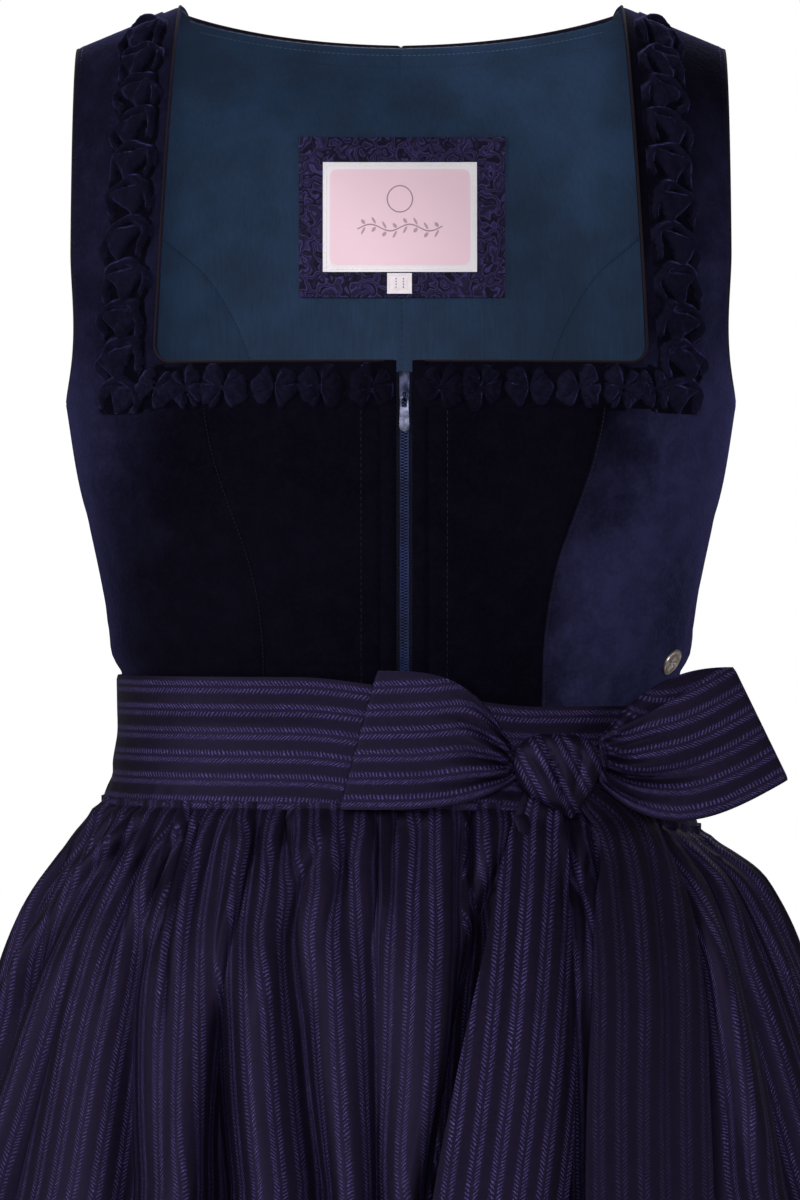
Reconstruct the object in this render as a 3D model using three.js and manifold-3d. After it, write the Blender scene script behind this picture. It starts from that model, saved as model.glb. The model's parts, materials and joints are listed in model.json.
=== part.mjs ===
// A sleeveless dirndl: velvet bodice with a square neckline and a box-pleated ruche, front zip,
// gathered skirt, and an apron whose wide band is tied in a bow with two tails.
// Millimetres, +Z up, front towards -Y. Left and right in the names are as seen from the front.
// The origin lies midway between the shoulder seams, level with the middle of each strap.

import * as THREE from 'three'
import Module from 'manifold-3d'
import { mergeVertices } from 'three/addons/utils/BufferGeometryUtils.js'

// Driving heights
const UNDERARM_Z = -178
const WAIST_SEAM_Z = -345
const NECK_Z = -161
const HEM_Z = -985
const APRON_HEM_Z = -960
const TAIL_END_Z = -720

// Cloth
const VELVET_WALL = 2
const LINING_WALL = 1
const SATIN_WALL = 1.8
const SKIRT_WALL = 2
const SEAM_GAP = 0.3
const HALF_GAP = SEAM_GAP / 2

// The closing sits a little to the right of the middle
const CLOSING_X = 1.5
const COIL_GAP = 3.6
const PLACKET_WIDTH = 7

// Straps
const STRAP_MIDDLE_X = 128
const SHOULDER_SLOPE = 0.41
const STRAP_INNER_X = 103.5
const NECK_CORNER_X = 112
const NECK_CORNER_RADIUS = 8
const ARMHOLE_PHI = 61.4
const ARMHOLE_LEVEL = 0.25

// Body sections: half width, depth in front, depth behind, and how square the section is
const TORSO = [
  { z: -178, half: 157, front: 97, back: 95, square: 2.6 },
  { z: -212, half: 151.6, front: 100, back: 92, square: 2.5 },
  { z: -240, half: 145, front: 97, back: 88, square: 2.4 },
  { z: -270, half: 139, front: 91, back: 84, square: 2.3 },
  { z: -295, half: 135.6, front: 87, back: 82, square: 2.3 },
  { z: -304, half: 130.8, front: 84.4, back: 80.2, square: 2.3 },
  { z: -325, half: 129.2, front: 82.3, back: 78.6, square: 2.3 },
  { z: -345, half: 130.2, front: 83, back: 79, square: 2.3 },
]

// The band's outer face, where it hangs highest
const BAND = [
  { z: -304, half: 133.6, front: 87.6, back: 83.4, square: 2.3 },
  { z: -325, half: 133.4, front: 86.6, back: 83, square: 2.3 },
  { z: -335, half: 134, front: 87, back: 83.6, square: 2.3 },
  { z: -345, half: 135.6, front: 88.4, back: 85, square: 2.3 },
  { z: -354, half: 137.4, front: 90, back: 86.6, square: 2.3 },
  { z: -364, half: 140.4, front: 92.4, back: 89, square: 2.3 },
]

// The apron's outermost surface, on the crests of its folds
const APRON = [
  { z: -364, half: 140.4, front: 92.4, back: 89, square: 2.3 },
  { z: -372, half: 144.5, front: 96, back: 92, square: 2.3 },
  { z: -382, half: 152, front: 102, back: 99, square: 2.25 },
  { z: -400, half: 165, front: 113, back: 111, square: 2.2 },
  { z: -419, half: 176, front: 124, back: 123, square: 2.2 },
  { z: -438, half: 186, front: 134, back: 134, square: 2.15 },
  { z: -485, half: 206, front: 153, back: 155, square: 2.1 },
  { z: -550, half: 231, front: 177, back: 181, square: 2.05 },
  { z: -700, half: 276, front: 221, back: 227, square: 2 },
  { z: -985, half: 318, front: 268, back: 278, square: 2 },
]

// The skirt's outer surface, under the apron in front and free behind
const SKIRT = [
  { z: -345, half: 130.2, front: 83, back: 79, square: 2.3 },
  { z: -364, half: 131, front: 83.8, back: 79.8, square: 2.3 },
  { z: -378, half: 134.4, front: 86.6, back: 82.6, square: 2.3 },
  { z: -390, half: 142, front: 93, back: 90, square: 2.25 },
  { z: -410, half: 159, front: 108, back: 106, square: 2.2 },
  { z: -438, half: 176, front: 124, back: 124, square: 2.15 },
  { z: -485, half: 196, front: 143, back: 145, square: 2.1 },
  { z: -550, half: 221, front: 167, back: 171, square: 2.05 },
  { z: -700, half: 266, front: 211, back: 217, square: 2 },
  { z: -985, half: 308, front: 258, back: 268, square: 2 },
]

// Princess seams: distance from the closing in front, and from the middle behind
const FRONT_PRINCESS = [
  { z: -161, across: 91 }, { z: -186, across: 89.6 }, { z: -209, across: 84 },
  { z: -231, across: 75.3 }, { z: -250, across: 68.5 }, { z: -278, across: 65.6 },
  { z: -305, across: 63.6 }, { z: -345, across: 63 },
]
const BACK_PRINCESS = [
  { z: -60, across: 154 }, { z: -75, across: 136 }, { z: -94, across: 116 },
  { z: -110, across: 97 }, { z: -131, across: 83 }, { z: -150, across: 75 },
  { z: -178, across: 66.5 }, { z: -200, across: 63 }, { z: -250, across: 57 },
  { z: -345, across: 52 },
]

// Valleys of the apron's large folds: angle at the band, angle near the hem, half width in
// degrees and depth in millimetres at the hem
const APRON_VALLEYS = [
  { top: -90, low: -88, width: 3.2, depth: 13 }, { top: -78, low: -77, width: 3, depth: 12 },
  { top: -66, low: -64, width: 3.2, depth: 14 }, { top: -54, low: -53, width: 3, depth: 13 },
  { top: -44, low: -33, width: 3.2, depth: 12 }, { top: -29, low: -20, width: 3.4, depth: 18 },
  { top: -17, low: -9.5, width: 2.8, depth: 13 }, { top: -2.5, low: -2, width: 2.4, depth: 10 },
  { top: 8.6, low: 5, width: 2.6, depth: 14 }, { top: 17, low: 13, width: 2.6, depth: 11 },
  { top: 26, low: 20, width: 2.8, depth: 12 }, { top: 36, low: 27.5, width: 2.8, depth: 12 },
  { top: 49, low: 34, width: 3.2, depth: 17 }, { top: 60, low: 53, width: 3, depth: 13 },
  { top: 72, low: 69, width: 3, depth: 12 }, { top: 85, low: 84, width: 3.2, depth: 13 },
]
const BACK_FOLDS = 12
const GATHERS_ACROSS_APRON = 26
const GATHER_DEPTH = 1.9
const APRON_EDGE_PHI = 98

// How much lower the band hangs on the right
const BAND_DROP = 13.5

const velvet = new THREE.MeshStandardMaterial({ color: 0x12102a, roughness: 0.9, metalness: 0 })
const satin = new THREE.MeshStandardMaterial({ color: 0x282044, roughness: 0.5, metalness: 0 })
const skirtCloth = new THREE.MeshStandardMaterial({ color: 0x100e22, roughness: 0.8, metalness: 0 })
const liningCloth = new THREE.MeshStandardMaterial({ color: 0x2a3a53, roughness: 0.7, metalness: 0 })
const patchCloth = new THREE.MeshStandardMaterial({ color: 0x27223c, roughness: 0.7, metalness: 0 })
const labelCloth = new THREE.MeshStandardMaterial({ color: 0xd8b8c5, roughness: 0.7, metalness: 0 })
const tabCloth = new THREE.MeshStandardMaterial({ color: 0xe3dbe0, roughness: 0.7, metalness: 0 })
const tapeCloth = new THREE.MeshStandardMaterial({ color: 0x1e243d, roughness: 0.8, metalness: 0 })
const steel = new THREE.MeshStandardMaterial({ color: 0x9a9aa4, roughness: 0.35, metalness: 1 })
const badgeMetal = new THREE.MeshStandardMaterial({ color: 0x8c8078, roughness: 0.4, metalness: 1 })

// Small helpers
const radians = degrees => degrees * Math.PI / 180
const degrees = angle => angle * 180 / Math.PI
const clamp01 = t => Math.min(1, Math.max(0, t))
const mix = (a, b, t) => a + (b - a) * t
const power = (t, exponent) => Math.sign(t) * Math.abs(t) ** exponent
const point = (x, y, z) => new THREE.Vector3(x, y, z)

function smooth(from, to, t) {
  const s = clamp01((t - from) / (to - from))
  return s * s * (3 - 2 * s)
}

function steps(from, to, count) {
  return Array.from({ length: count + 1 }, (_, i) => mix(from, to, i / count))
}

// Reads a table at height z with a cubic through its rows; tables run downwards or upwards
function tableAt(rows, z, name) {
  const order = rows[0].z < rows[1].z ? rows : [...rows].reverse()
  if (z <= order[0].z) return order[0][name]
  if (z >= order.at(-1).z) return order.at(-1)[name]
  const k = order.findIndex(row => row.z > z) - 1
  const [a, b] = [order[k], order[k + 1]]
  const before = order[k - 1] ?? a
  const after = order[k + 2] ?? b
  const span = b.z - a.z
  const slopeA = (b[name] - before[name]) / (b.z - before.z) * span
  const slopeB = (after[name] - a[name]) / (after.z - a.z) * span
  const t = (z - a.z) / span
  return (2 * t ** 3 - 3 * t ** 2 + 1) * a[name] + (t ** 3 - 2 * t ** 2 + t) * slopeA +
    (3 * t ** 2 - 2 * t ** 3) * b[name] + (t ** 3 - t ** 2) * slopeB
}

// One point of a superellipse section; phi is 0 in front, 90 at +X, 180 behind
function sectionPoint(half, front, back, square, phi, z) {
  const across = Math.sin(radians(phi))
  const depth = Math.cos(radians(phi))
  return point(half * power(across, 2 / square),
    -(depth >= 0 ? front : back) * power(depth, 2 / square), z)
}

function tablePoint(rows, phi, z) {
  return sectionPoint(tableAt(rows, z, 'half'), tableAt(rows, z, 'front'), tableAt(rows, z, 'back'),
    tableAt(rows, z, 'square'), phi, z)
}

// The angle at which a table's section is x wide of the middle
function phiOnTable(rows, x, z) {
  const share = Math.min(1, Math.abs(x) / tableAt(rows, z, 'half'))
  return Math.sign(x) * degrees(Math.asin(share ** (tableAt(rows, z, 'square') / 2)))
}

// Bodice surface. Level -1 is the waist seam, 0 the underarm, 1 the crest of the shoulder.
// Above the underarm the body arches over: a point climbs to the sloping shoulder line as its
// depth closes to nothing.
const YOKE = { half: 157, wide: 168, front: 97, back: 95, square: 2.6, climb: 0.909 }
const crest = x => -SHOULDER_SLOPE * (Math.abs(x) - STRAP_MIDDLE_X)
const yokeHalf = level => mix(YOKE.half, YOKE.wide, smooth(0, ARMHOLE_LEVEL, level))

function bodice(phi, level) {
  if (level <= 0) return tablePoint(TORSO, phi, UNDERARM_Z + level * (UNDERARM_Z - WAIST_SEAM_Z))
  const p = sectionPoint(yokeHalf(level), YOKE.front, YOKE.back, YOKE.square, phi, 0)
  const lift = Math.sin(radians(90 * level)) ** YOKE.climb
  return point(p.x, p.y * Math.cos(radians(90 * level)),
    UNDERARM_Z + (crest(p.x) - UNDERARM_Z) * lift)
}

function crossNormal(surface, a, b, stepA, stepB) {
  const alongA = surface(a + stepA, b).sub(surface(a - stepA, b))
  const alongB = surface(a, b + stepB).sub(surface(a, b - stepB))
  return alongA.cross(alongB).normalize()
}

const bodiceNormal = (phi, level) => crossNormal(bodice, phi, level, 0.5, 0.004)

// The level on the yoke at a given distance from the middle and height
function levelOf(x, z) {
  const share = clamp01((z - UNDERARM_Z) / (crest(x) - UNDERARM_Z))
  return degrees(Math.asin(share ** (1 / YOKE.climb))) / 90
}

// The angle of a point x from the middle at a level, before it is turned to the back
function phiAcross(x, level) {
  const z = UNDERARM_Z + Math.min(0, level) * (UNDERARM_Z - WAIST_SEAM_Z)
  const half = level > 0 ? yokeHalf(level) : tableAt(TORSO, z, 'half')
  const square = level > 0 ? YOKE.square : tableAt(TORSO, z, 'square')
  return degrees(Math.asin(Math.min(1, Math.abs(x) / half) ** (square / 2)))
}

// Distance from the middle at which a seam crosses a level
function seamAcross(seam, level, shift) {
  let across = 80
  for (let turn = 0; turn < 30; turn++) {
    const z = level <= 0
      ? UNDERARM_Z + level * (UNDERARM_Z - WAIST_SEAM_Z)
      : UNDERARM_Z + (crest(across) - UNDERARM_Z) * Math.sin(radians(90 * level)) ** YOKE.climb
    across = mix(across, tableAt(seam, z, 'across') + shift, 0.6)
  }
  return across
}

// The armhole: a quarter oval from the side seam up to a straight strap edge
function armholePhi(level) {
  if (level <= 0) return 90
  const w = Math.min(1, level / ARMHOLE_LEVEL)
  return ARMHOLE_PHI + (90 - ARMHOLE_PHI) * (1 - Math.sqrt(2 * w - w * w))
}

// Moves an edge angle sideways by a distance in millimetres
function shiftPhi(phi, level, distance) {
  const perDegree = bodice(phi + 0.5, level).distanceTo(bodice(phi - 0.5, level))
  return phi + distance / perDegree
}

// Turns a grid of outer points and outward directions into a closed wall
function wall(columns, rows, outerAt, thickness, ring = false) {
  const outer = []
  const inner = []
  for (const row of rows) {
    for (const column of columns) {
      const { at, out } = outerAt(column, row)
      outer.push(at)
      inner.push(at.clone().addScaledVector(out, -thickness))
    }
  }
  return closeWall(outer, inner, columns.length, rows.length, ring)
}

function closeWall(outer, inner, columnCount, rowCount, ring) {
  const layer = columnCount * rowCount
  const id = (side, j, i) => side * layer + j * columnCount + i % columnCount
  const faces = []
  const quad = (a, b, c, d) => faces.push(a, b, c, a, c, d)
  const lastColumn = ring ? columnCount : columnCount - 1
  for (let i = 0; i < lastColumn; i++) {
    for (let j = 0; j < rowCount - 1; j++) {
      quad(id(0, j, i), id(0, j, i + 1), id(0, j + 1, i + 1), id(0, j + 1, i))
      quad(id(1, j, i), id(1, j + 1, i), id(1, j + 1, i + 1), id(1, j, i + 1))
    }
    const top = rowCount - 1
    quad(id(0, 0, i + 1), id(0, 0, i), id(1, 0, i), id(1, 0, i + 1))
    quad(id(0, top, i), id(0, top, i + 1), id(1, top, i + 1), id(1, top, i))
  }
  if (!ring) {
    const end = columnCount - 1
    for (let j = 0; j < rowCount - 1; j++) {
      quad(id(0, j, 0), id(0, j + 1, 0), id(1, j + 1, 0), id(1, j, 0))
      quad(id(0, j + 1, end), id(0, j, end), id(1, j, end), id(1, j + 1, end))
    }
  }
  return solidGeometry([...outer, ...inner], faces)
}

// Makes the geometry and turns its faces outwards
function solidGeometry(points, faces) {
  let volume = 0
  for (let f = 0; f < faces.length; f += 3) {
    const [a, b, c] = [points[faces[f]], points[faces[f + 1]], points[faces[f + 2]]]
    volume += a.dot(b.clone().cross(c))
  }
  if (volume < 0) {
    for (let f = 0; f < faces.length; f += 3) [faces[f], faces[f + 1]] = [faces[f + 1], faces[f]]
  }
  const geometry = new THREE.BufferGeometry()
  geometry.setAttribute('position',
    new THREE.Float32BufferAttribute(points.flatMap(p => [p.x, p.y, p.z]), 3))
  geometry.setIndex(faces)
  return geometry
}

// Joins the shared corners of a stock shape, so that it is one closed body
function welded(geometry) {
  geometry.deleteAttribute('normal')
  geometry.deleteAttribute('uv')
  return mergeVertices(geometry)
}

const dirndl = new THREE.Group()

function piece(name, geometry, material) {
  const mesh = new THREE.Mesh(geometry, material)
  mesh.name = name
  dirndl.add(mesh)
  return mesh
}

const sideName = side => side < 0 ? 'left' : 'right'
const SIDES = [-1, 1]

// Bodice panels: each row names a level and the angles of its two edges, and the panel is ruled
// between them
function bodicePanel(side, rows, columnCount, inset, thickness) {
  return wall(steps(0, 1, columnCount), rows, (u, row) => {
    const levelHere = row.levelAt ? row.levelAt(u) : row.level
    const phi = side * mix(row.from, row.to, u)
    const out = bodiceNormal(phi, levelHere)
    return { at: bodice(phi, levelHere).addScaledVector(out, -inset), out }
  }, thickness)
}

const TRUNK_LEVELS = [-1, -0.88, -0.755, -0.7, -0.55, -0.38, -0.2, -0.08, 0]
const UNDERARM_STEP = 0.006
const CREST_LEVEL = 0.9985

// Front centre panels and plackets, up to the level front neckline
function frontBetween(side, fromAcross, toAcross) {
  const shift = side * CLOSING_X
  const neckLevelAt = (u, atLevel) =>
    levelOf(mix(fromAcross + shift, toAcross(atLevel), u), NECK_Z)
  const edges = level => {
    const start = phiAcross(fromAcross + shift, level)
    return {
      from: shiftPhi(start, level, HALF_GAP),
      to: shiftPhi(phiAcross(toAcross(level), level), level, -HALF_GAP),
    }
  }
  const trunk = TRUNK_LEVELS.map(level => ({ level, ...edges(level) }))
  const seamTop = levelOf(seamAcross(FRONT_PRINCESS, 0, shift), NECK_Z)
  const neck = [UNDERARM_STEP / seamTop, 0.5, 1].map(share => {
    const level = seamTop * share
    return { levelAt: u => neckLevelAt(u, level) * share, ...edges(level) }
  })
  return [...trunk, ...neck]
}

for (const side of SIDES) {
  const shift = side * CLOSING_X
  const ridge = COIL_GAP + PLACKET_WIDTH
  const placket = frontBetween(side, COIL_GAP, () => ridge + shift)
  piece(`placket_${sideName(side)}`, bodicePanel(side, placket, 1, 0, VELVET_WALL), velvet)
  const centre = frontBetween(side, ridge, level => seamAcross(FRONT_PRINCESS, level, shift))
  piece(`front_centre_${sideName(side)}`, bodicePanel(side, centre, 4, 0, VELVET_WALL), velvet)
}

// Inner edge of the front strap from the neck corner to the shoulder
const cornerTopLevel = levelOf(NECK_CORNER_X, NECK_Z + NECK_CORNER_RADIUS)
const climbOf = level => Math.sin(radians(90 * Math.max(0, level))) ** YOKE.climb

function strapInner(level) {
  const share = (climbOf(level) - climbOf(cornerTopLevel)) / (1 - climbOf(cornerTopLevel))
  return mix(NECK_CORNER_X, STRAP_INNER_X, clamp01(share))
}

function frontSideRows(side) {
  const shift = side * CLOSING_X
  const neckLevel = levelOf(seamAcross(FRONT_PRINCESS, 0, shift), NECK_Z)
  const seamRows = [...TRUNK_LEVELS, UNDERARM_STEP, neckLevel / 2, neckLevel].map(level =>
    ({ level, across: seamAcross(FRONT_PRINCESS, level, shift), gap: HALF_GAP }))
  const corner = steps(-90, 0, 3).map(angle => {
    const across = NECK_CORNER_X - NECK_CORNER_RADIUS * (1 - Math.cos(radians(angle)))
    const z = NECK_Z + NECK_CORNER_RADIUS * (1 + Math.sin(radians(angle)))
    return { level: levelOf(across, z), across, gap: 0 }
  })
  const strap = [0.12, 0.16, 0.2, 0.25, 0.34, 0.44, 0.55, 0.67, 0.79, 0.9, CREST_LEVEL]
    .map(level => ({ level, across: strapInner(level), gap: 0 }))
  return [...seamRows, ...corner, ...strap].map(({ level, across, gap }) => ({
    level,
    from: shiftPhi(phiAcross(across, level), level, gap),
    to: shiftPhi(armholePhi(level), level, -HALF_GAP),
  }))
}

for (const side of SIDES) {
  piece(`front_side_${sideName(side)}`, bodicePanel(side, frontSideRows(side), 4, 0, VELVET_WALL), velvet)
}

// Back neck rim: nearly level in the middle and rising to the straps
const rimHeight = x => -1.6 + 9 * (Math.abs(x) / 101) ** 2.2
const BACK_SEAM_LEVELS = [UNDERARM_STEP, 0.03, 0.07, 0.12, 0.18, 0.24, 0.3, 0.36, 0.42, 0.455]

const turned = (from, to, level) => ({ level, from: 180 - from, to: 180 - to })

function backCentreRows() {
  const seamRows = [...TRUNK_LEVELS, ...BACK_SEAM_LEVELS].map(level => ({
    level,
    from: phiAcross(HALF_GAP, level),
    to: shiftPhi(phiAcross(seamAcross(BACK_PRINCESS, level, 0), level), level, -HALF_GAP),
  }))
  const shoulder = level => shiftPhi(armholePhi(level), level, -HALF_GAP)
  const rim = [HALF_GAP, 20, 40, 58, 75, 90, 101].map(across => {
    const level = levelOf(across, rimHeight(across))
    return { level, from: phiAcross(across, level), to: shoulder(level) }
  })
  const below = { level: 0.5, from: phiAcross(HALF_GAP, 0.5), to: shoulder(0.5) }
  const strap = [0.94, CREST_LEVEL].map(level => ({
    level,
    from: phiAcross(mix(101, STRAP_INNER_X, (level - 0.87) / 0.13), level),
    to: shoulder(level),
  }))
  return [...seamRows, below, ...rim, ...strap].map(row => turned(row.from, row.to, row.level))
}

function backSideRows() {
  return [...TRUNK_LEVELS, ...BACK_SEAM_LEVELS].map(level => turned(
    shiftPhi(phiAcross(seamAcross(BACK_PRINCESS, level, 0), level), level, HALF_GAP),
    shiftPhi(armholePhi(level), level, -HALF_GAP), level))
}

const LINING_INSET = VELVET_WALL + SEAM_GAP
for (const side of SIDES) {
  const name = sideName(side)
  piece(`back_centre_${name}`, bodicePanel(side, backCentreRows(), 5, 0, VELVET_WALL), velvet)
  piece(`back_side_${name}`, bodicePanel(side, backSideRows(), 3, 0, VELVET_WALL), velvet)
  piece(`lining_centre_${name}`,
    bodicePanel(side, backCentreRows(), 5, LINING_INSET, LINING_WALL), liningCloth)
  piece(`lining_side_${name}`,
    bodicePanel(side, backSideRows(), 3, LINING_INSET, LINING_WALL), liningCloth)
}

// A sheet sewn to the inside of the back between two heights and two distances from the middle
function insideBack(left, right, low, high, columnCount, rowCount, inset, thickness) {
  return wall(steps(left, right, columnCount), steps(low, high, rowCount), (x, z) => {
    const level = levelOf(x, z)
    const phi = 180 - Math.sign(x || 1) * phiAcross(x, level)
    const out = bodiceNormal(phi, level)
    return { at: bodice(phi, level).addScaledVector(out, -inset), out }
  }, thickness)
}

const PATCH = { left: -50.2, right: 51.2, low: -120.8, high: -43, wall: 0.9 }
const LABEL = { left: -38.5, right: 37.5, low: -108.2, high: -54.8, wall: 0.7 }
const TAB = { left: -6.8, right: 5.4, low: -118.9, high: -108.8, wall: 0.5 }
const patchInset = LINING_INSET + LINING_WALL + 0.8
const labelInset = patchInset + PATCH.wall + SEAM_GAP
piece('label_patch', insideBack(PATCH.left, PATCH.right, PATCH.low, PATCH.high, 8, 5,
  patchInset, PATCH.wall), patchCloth)
piece('label', insideBack(LABEL.left, LABEL.right, LABEL.low, LABEL.high, 7, 4,
  labelInset, LABEL.wall), labelCloth)
piece('size_tab', insideBack(TAB.left, TAB.right, TAB.low, TAB.high, 2, 1,
  labelInset, TAB.wall), tabCloth)

// Zip: the tape behind the plackets, the slider at its top and the pull tab on the slider
const TAPE = { halfWidth: 9, top: -166, lowLevel: -0.98, wall: 1 }
const frontPhi = (x, level) => Math.sign(x) * phiAcross(x, level)
const levelBelow = z => z > UNDERARM_Z ? levelOf(CLOSING_X, z) : (z - UNDERARM_Z) / (UNDERARM_Z - WAIST_SEAM_Z)

piece('zip_tape', wall(
  steps(CLOSING_X - TAPE.halfWidth, CLOSING_X + TAPE.halfWidth, 2),
  [TAPE.lowLevel, ...TRUNK_LEVELS.slice(1), levelBelow(TAPE.top)],
  (x, level) => {
    const out = bodiceNormal(0, level)
    return { at: bodice(frontPhi(x, level), level).addScaledVector(out, -LINING_INSET - 0.4), out }
  }, TAPE.wall), tapeCloth)

const SLIDER = { top: -165.5, low: -178.6, halfWidth: 2.4, wall: 1.8, stand: 0.9 }
const HOOK = { halfWidth: 0.5, rise: 2.2, roof: 1, reach: 2.2, lip: 0.5, drop: 0.8 }
const PULL = { length: 15.4, halfTop: 2, halfLow: 2.3, wall: 0.8, bar: 0.4, holeHalf: 1.1, holeLow: 4.2 }
const PIVOT_Z = -177.8
const BAR_STAND = 0.95
const tapeFaceY = bodice(0, levelBelow(PIVOT_Z)).y + LINING_INSET + 0.4
const sliderFaceY = tapeFaceY - SLIDER.stand - SLIDER.wall
const pivotY = sliderFaceY - BAR_STAND

// The slider's shield and the hook that holds the pull's bar are one body: the outline of the
// whole slider is cut through at its middle, so the hook's profile in Y and Z joins the shield's
function sliderGeometry() {
  const back = sliderFaceY + SLIDER.wall
  const front = sliderFaceY - HOOK.reach
  const roof = PIVOT_Z + HOOK.rise
  const lipEnd = PIVOT_Z - HOOK.drop
  const hookProfile = [
    [back, SLIDER.low], [back, SLIDER.top], [sliderFaceY, SLIDER.top], [sliderFaceY, roof],
    [front, roof], [front, lipEnd], [front + HOOK.lip, lipEnd],
    [front + HOOK.lip, roof - HOOK.roof], [sliderFaceY, roof - HOOK.roof], [sliderFaceY, SLIDER.low],
  ]
  const middle = profilePrism(hookProfile, -HOOK.halfWidth, HOOK.halfWidth)
  const wing = side => profilePrism([
    [back, SLIDER.low], [back, SLIDER.top], [sliderFaceY, SLIDER.top], [sliderFaceY, roof],
    [sliderFaceY, roof - HOOK.roof], [sliderFaceY, SLIDER.low],
  ], side * HOOK.halfWidth, side * SLIDER.halfWidth)
  return joined([middle, wing(-1), wing(1)])
}

// A profile in Y and Z carried from one X to another
function profilePrism(profile, fromX, toX) {
  const outline = new THREE.Shape(profile.map(([y, z]) => new THREE.Vector2(y, z)))
  const prism = new THREE.ExtrudeGeometry(outline, { depth: Math.abs(toX - fromX), bevelEnabled: false })
  prism.applyMatrix4(new THREE.Matrix4().set(
    0, 0, 1, CLOSING_X + Math.min(fromX, toX),
    1, 0, 0, 0,
    0, 1, 0, 0,
    0, 0, 0, 1))
  return welded(prism)
}

const wasm = await Module()
wasm.setup()

function toManifold(geometry) {
  return new wasm.Manifold(new wasm.Mesh({
    numProp: 3,
    vertProperties: Float32Array.from(geometry.attributes.position.array),
    triVerts: Uint32Array.from(geometry.index.array),
  }))
}

function joined(geometries) {
  const solid = geometries.map(toManifold).reduce((whole, part) => whole.add(part))
  const mesh = solid.getMesh()
  const geometry = new THREE.BufferGeometry()
  geometry.setAttribute('position', new THREE.Float32BufferAttribute(mesh.vertProperties, 3))
  geometry.setIndex(new THREE.Uint32BufferAttribute(mesh.triVerts, 1))
  return geometry
}

// The pull: a ring over the hook that widens to a drop, drawn in X and Z at rest
function pullGeometry() {
  const low = -PULL.length
  const outline = new THREE.Shape()
  outline.moveTo(-PULL.halfTop, PULL.bar)
  outline.lineTo(-PULL.halfTop, -PULL.holeLow - 1.5)
  outline.lineTo(-PULL.halfLow, low + 4)
  outline.absarc(0, low + PULL.halfLow, PULL.halfLow, Math.PI, 2 * Math.PI, false)
  outline.lineTo(PULL.halfLow, low + 4)
  outline.lineTo(PULL.halfTop, -PULL.holeLow - 1.5)
  outline.lineTo(PULL.halfTop, PULL.bar)
  outline.closePath()
  const hole = new THREE.Path()
  hole.moveTo(-PULL.holeHalf, -PULL.bar)
  hole.lineTo(PULL.holeHalf, -PULL.bar)
  hole.lineTo(PULL.holeHalf, -PULL.holeLow)
  hole.lineTo(-PULL.holeHalf, -PULL.holeLow)
  hole.closePath()
  outline.holes.push(hole)
  const pull = new THREE.ExtrudeGeometry(outline, { depth: PULL.wall, bevelEnabled: false, curveSegments: 6 })
  pull.rotateX(Math.PI / 2)
  pull.translate(CLOSING_X, pivotY + PULL.wall / 2, PIVOT_Z)
  return welded(pull)
}

piece('zip_slider', sliderGeometry(), steel)
piece('zip_pull', pullGeometry(), steel)

// A round badge on the right side panel, facing straight out of the cloth
const BADGE = { radius: 6.5, wall: 1.2, stand: -0.3, x: 125.2, z: -297.6 }
{
  const level = (BADGE.z - UNDERARM_Z) / (UNDERARM_Z - WAIST_SEAM_Z)
  const phi = phiAcross(BADGE.x, level)
  const out = bodiceNormal(phi, level)
  const badge = new THREE.CylinderGeometry(BADGE.radius, BADGE.radius, BADGE.wall, 24)
  const mesh = piece('badge', welded(badge), badgeMetal)
  mesh.quaternion.setFromUnitVectors(point(0, 1, 0), out)
  mesh.position.copy(bodice(phi, level).addScaledVector(out, BADGE.stand + BADGE.wall / 2))
}

// Ruche: a strip box-pleated into units, each pinched in its middle. Along a unit the cloth puffs
// up and comes down again, across it the puff is largest at the two edges, and the strip is
// narrowest where two units meet.
const RUCHE = { halfWidth: 10.8, puff: 6, floor: 1.2, wall: 1, margin: 4.4 }
const FRONT_UNITS = 6
const STRAP_UNITS = 10
const ruchePuff = (along, across) => RUCHE.puff * (1 - along * along) ** 0.7 *
  (0.3 + 0.7 * Math.abs(across))
const rucheNarrow = along => Math.sqrt(1 - 0.5 * along * along)

function ruche(units, samples, place) {
  return wall(steps(0, units, units * samples), steps(-1, 1, 4), (run, across) => {
    const along = 2 * (run - Math.floor(run)) - 1
    const { at, out } = place(run / units, across * rucheNarrow(along))
    return { at: at.addScaledVector(out, SEAM_GAP + RUCHE.floor + ruchePuff(along, across)), out }
  }, RUCHE.wall)
}

const surfaceAt = (x, level) => {
  const phi = frontPhi(x, level)
  return { at: bodice(phi, level), out: bodiceNormal(phi, level) }
}

for (const side of SIDES) {
  const shift = side * CLOSING_X
  const inner = COIL_GAP + 1.6 + shift
  const outer = NECK_CORNER_X + RUCHE.margin - 1
  const frontMiddleZ = NECK_Z - 1 - RUCHE.halfWidth
  piece(`ruche_front_${sideName(side)}`, ruche(FRONT_UNITS, 4, (share, across) => {
    const x = mix(inner, outer, share)
    const z = frontMiddleZ + across * RUCHE.halfWidth
    const level = z > UNDERARM_Z ? levelOf(x, z) : (z - UNDERARM_Z) / (UNDERARM_Z - WAIST_SEAM_Z)
    return surfaceAt(side * x, level)
  }), velvet)
  piece(`ruche_strap_${sideName(side)}`, ruche(STRAP_UNITS, 4, (share, across) => {
    const z = mix(frontMiddleZ - RUCHE.halfWidth, 6, share)
    const level = strapLevel(z)
    const x = strapInner(level) + RUCHE.margin + RUCHE.halfWidth * (1 + across)
    return surfaceAt(side * x, level)
  }), velvet)
}

function strapLevel(z) {
  const middle = NECK_CORNER_X + RUCHE.halfWidth
  return z > UNDERARM_Z ? levelOf(middle - 6, z) : (z - UNDERARM_Z) / (UNDERARM_Z - WAIST_SEAM_Z)
}

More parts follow.
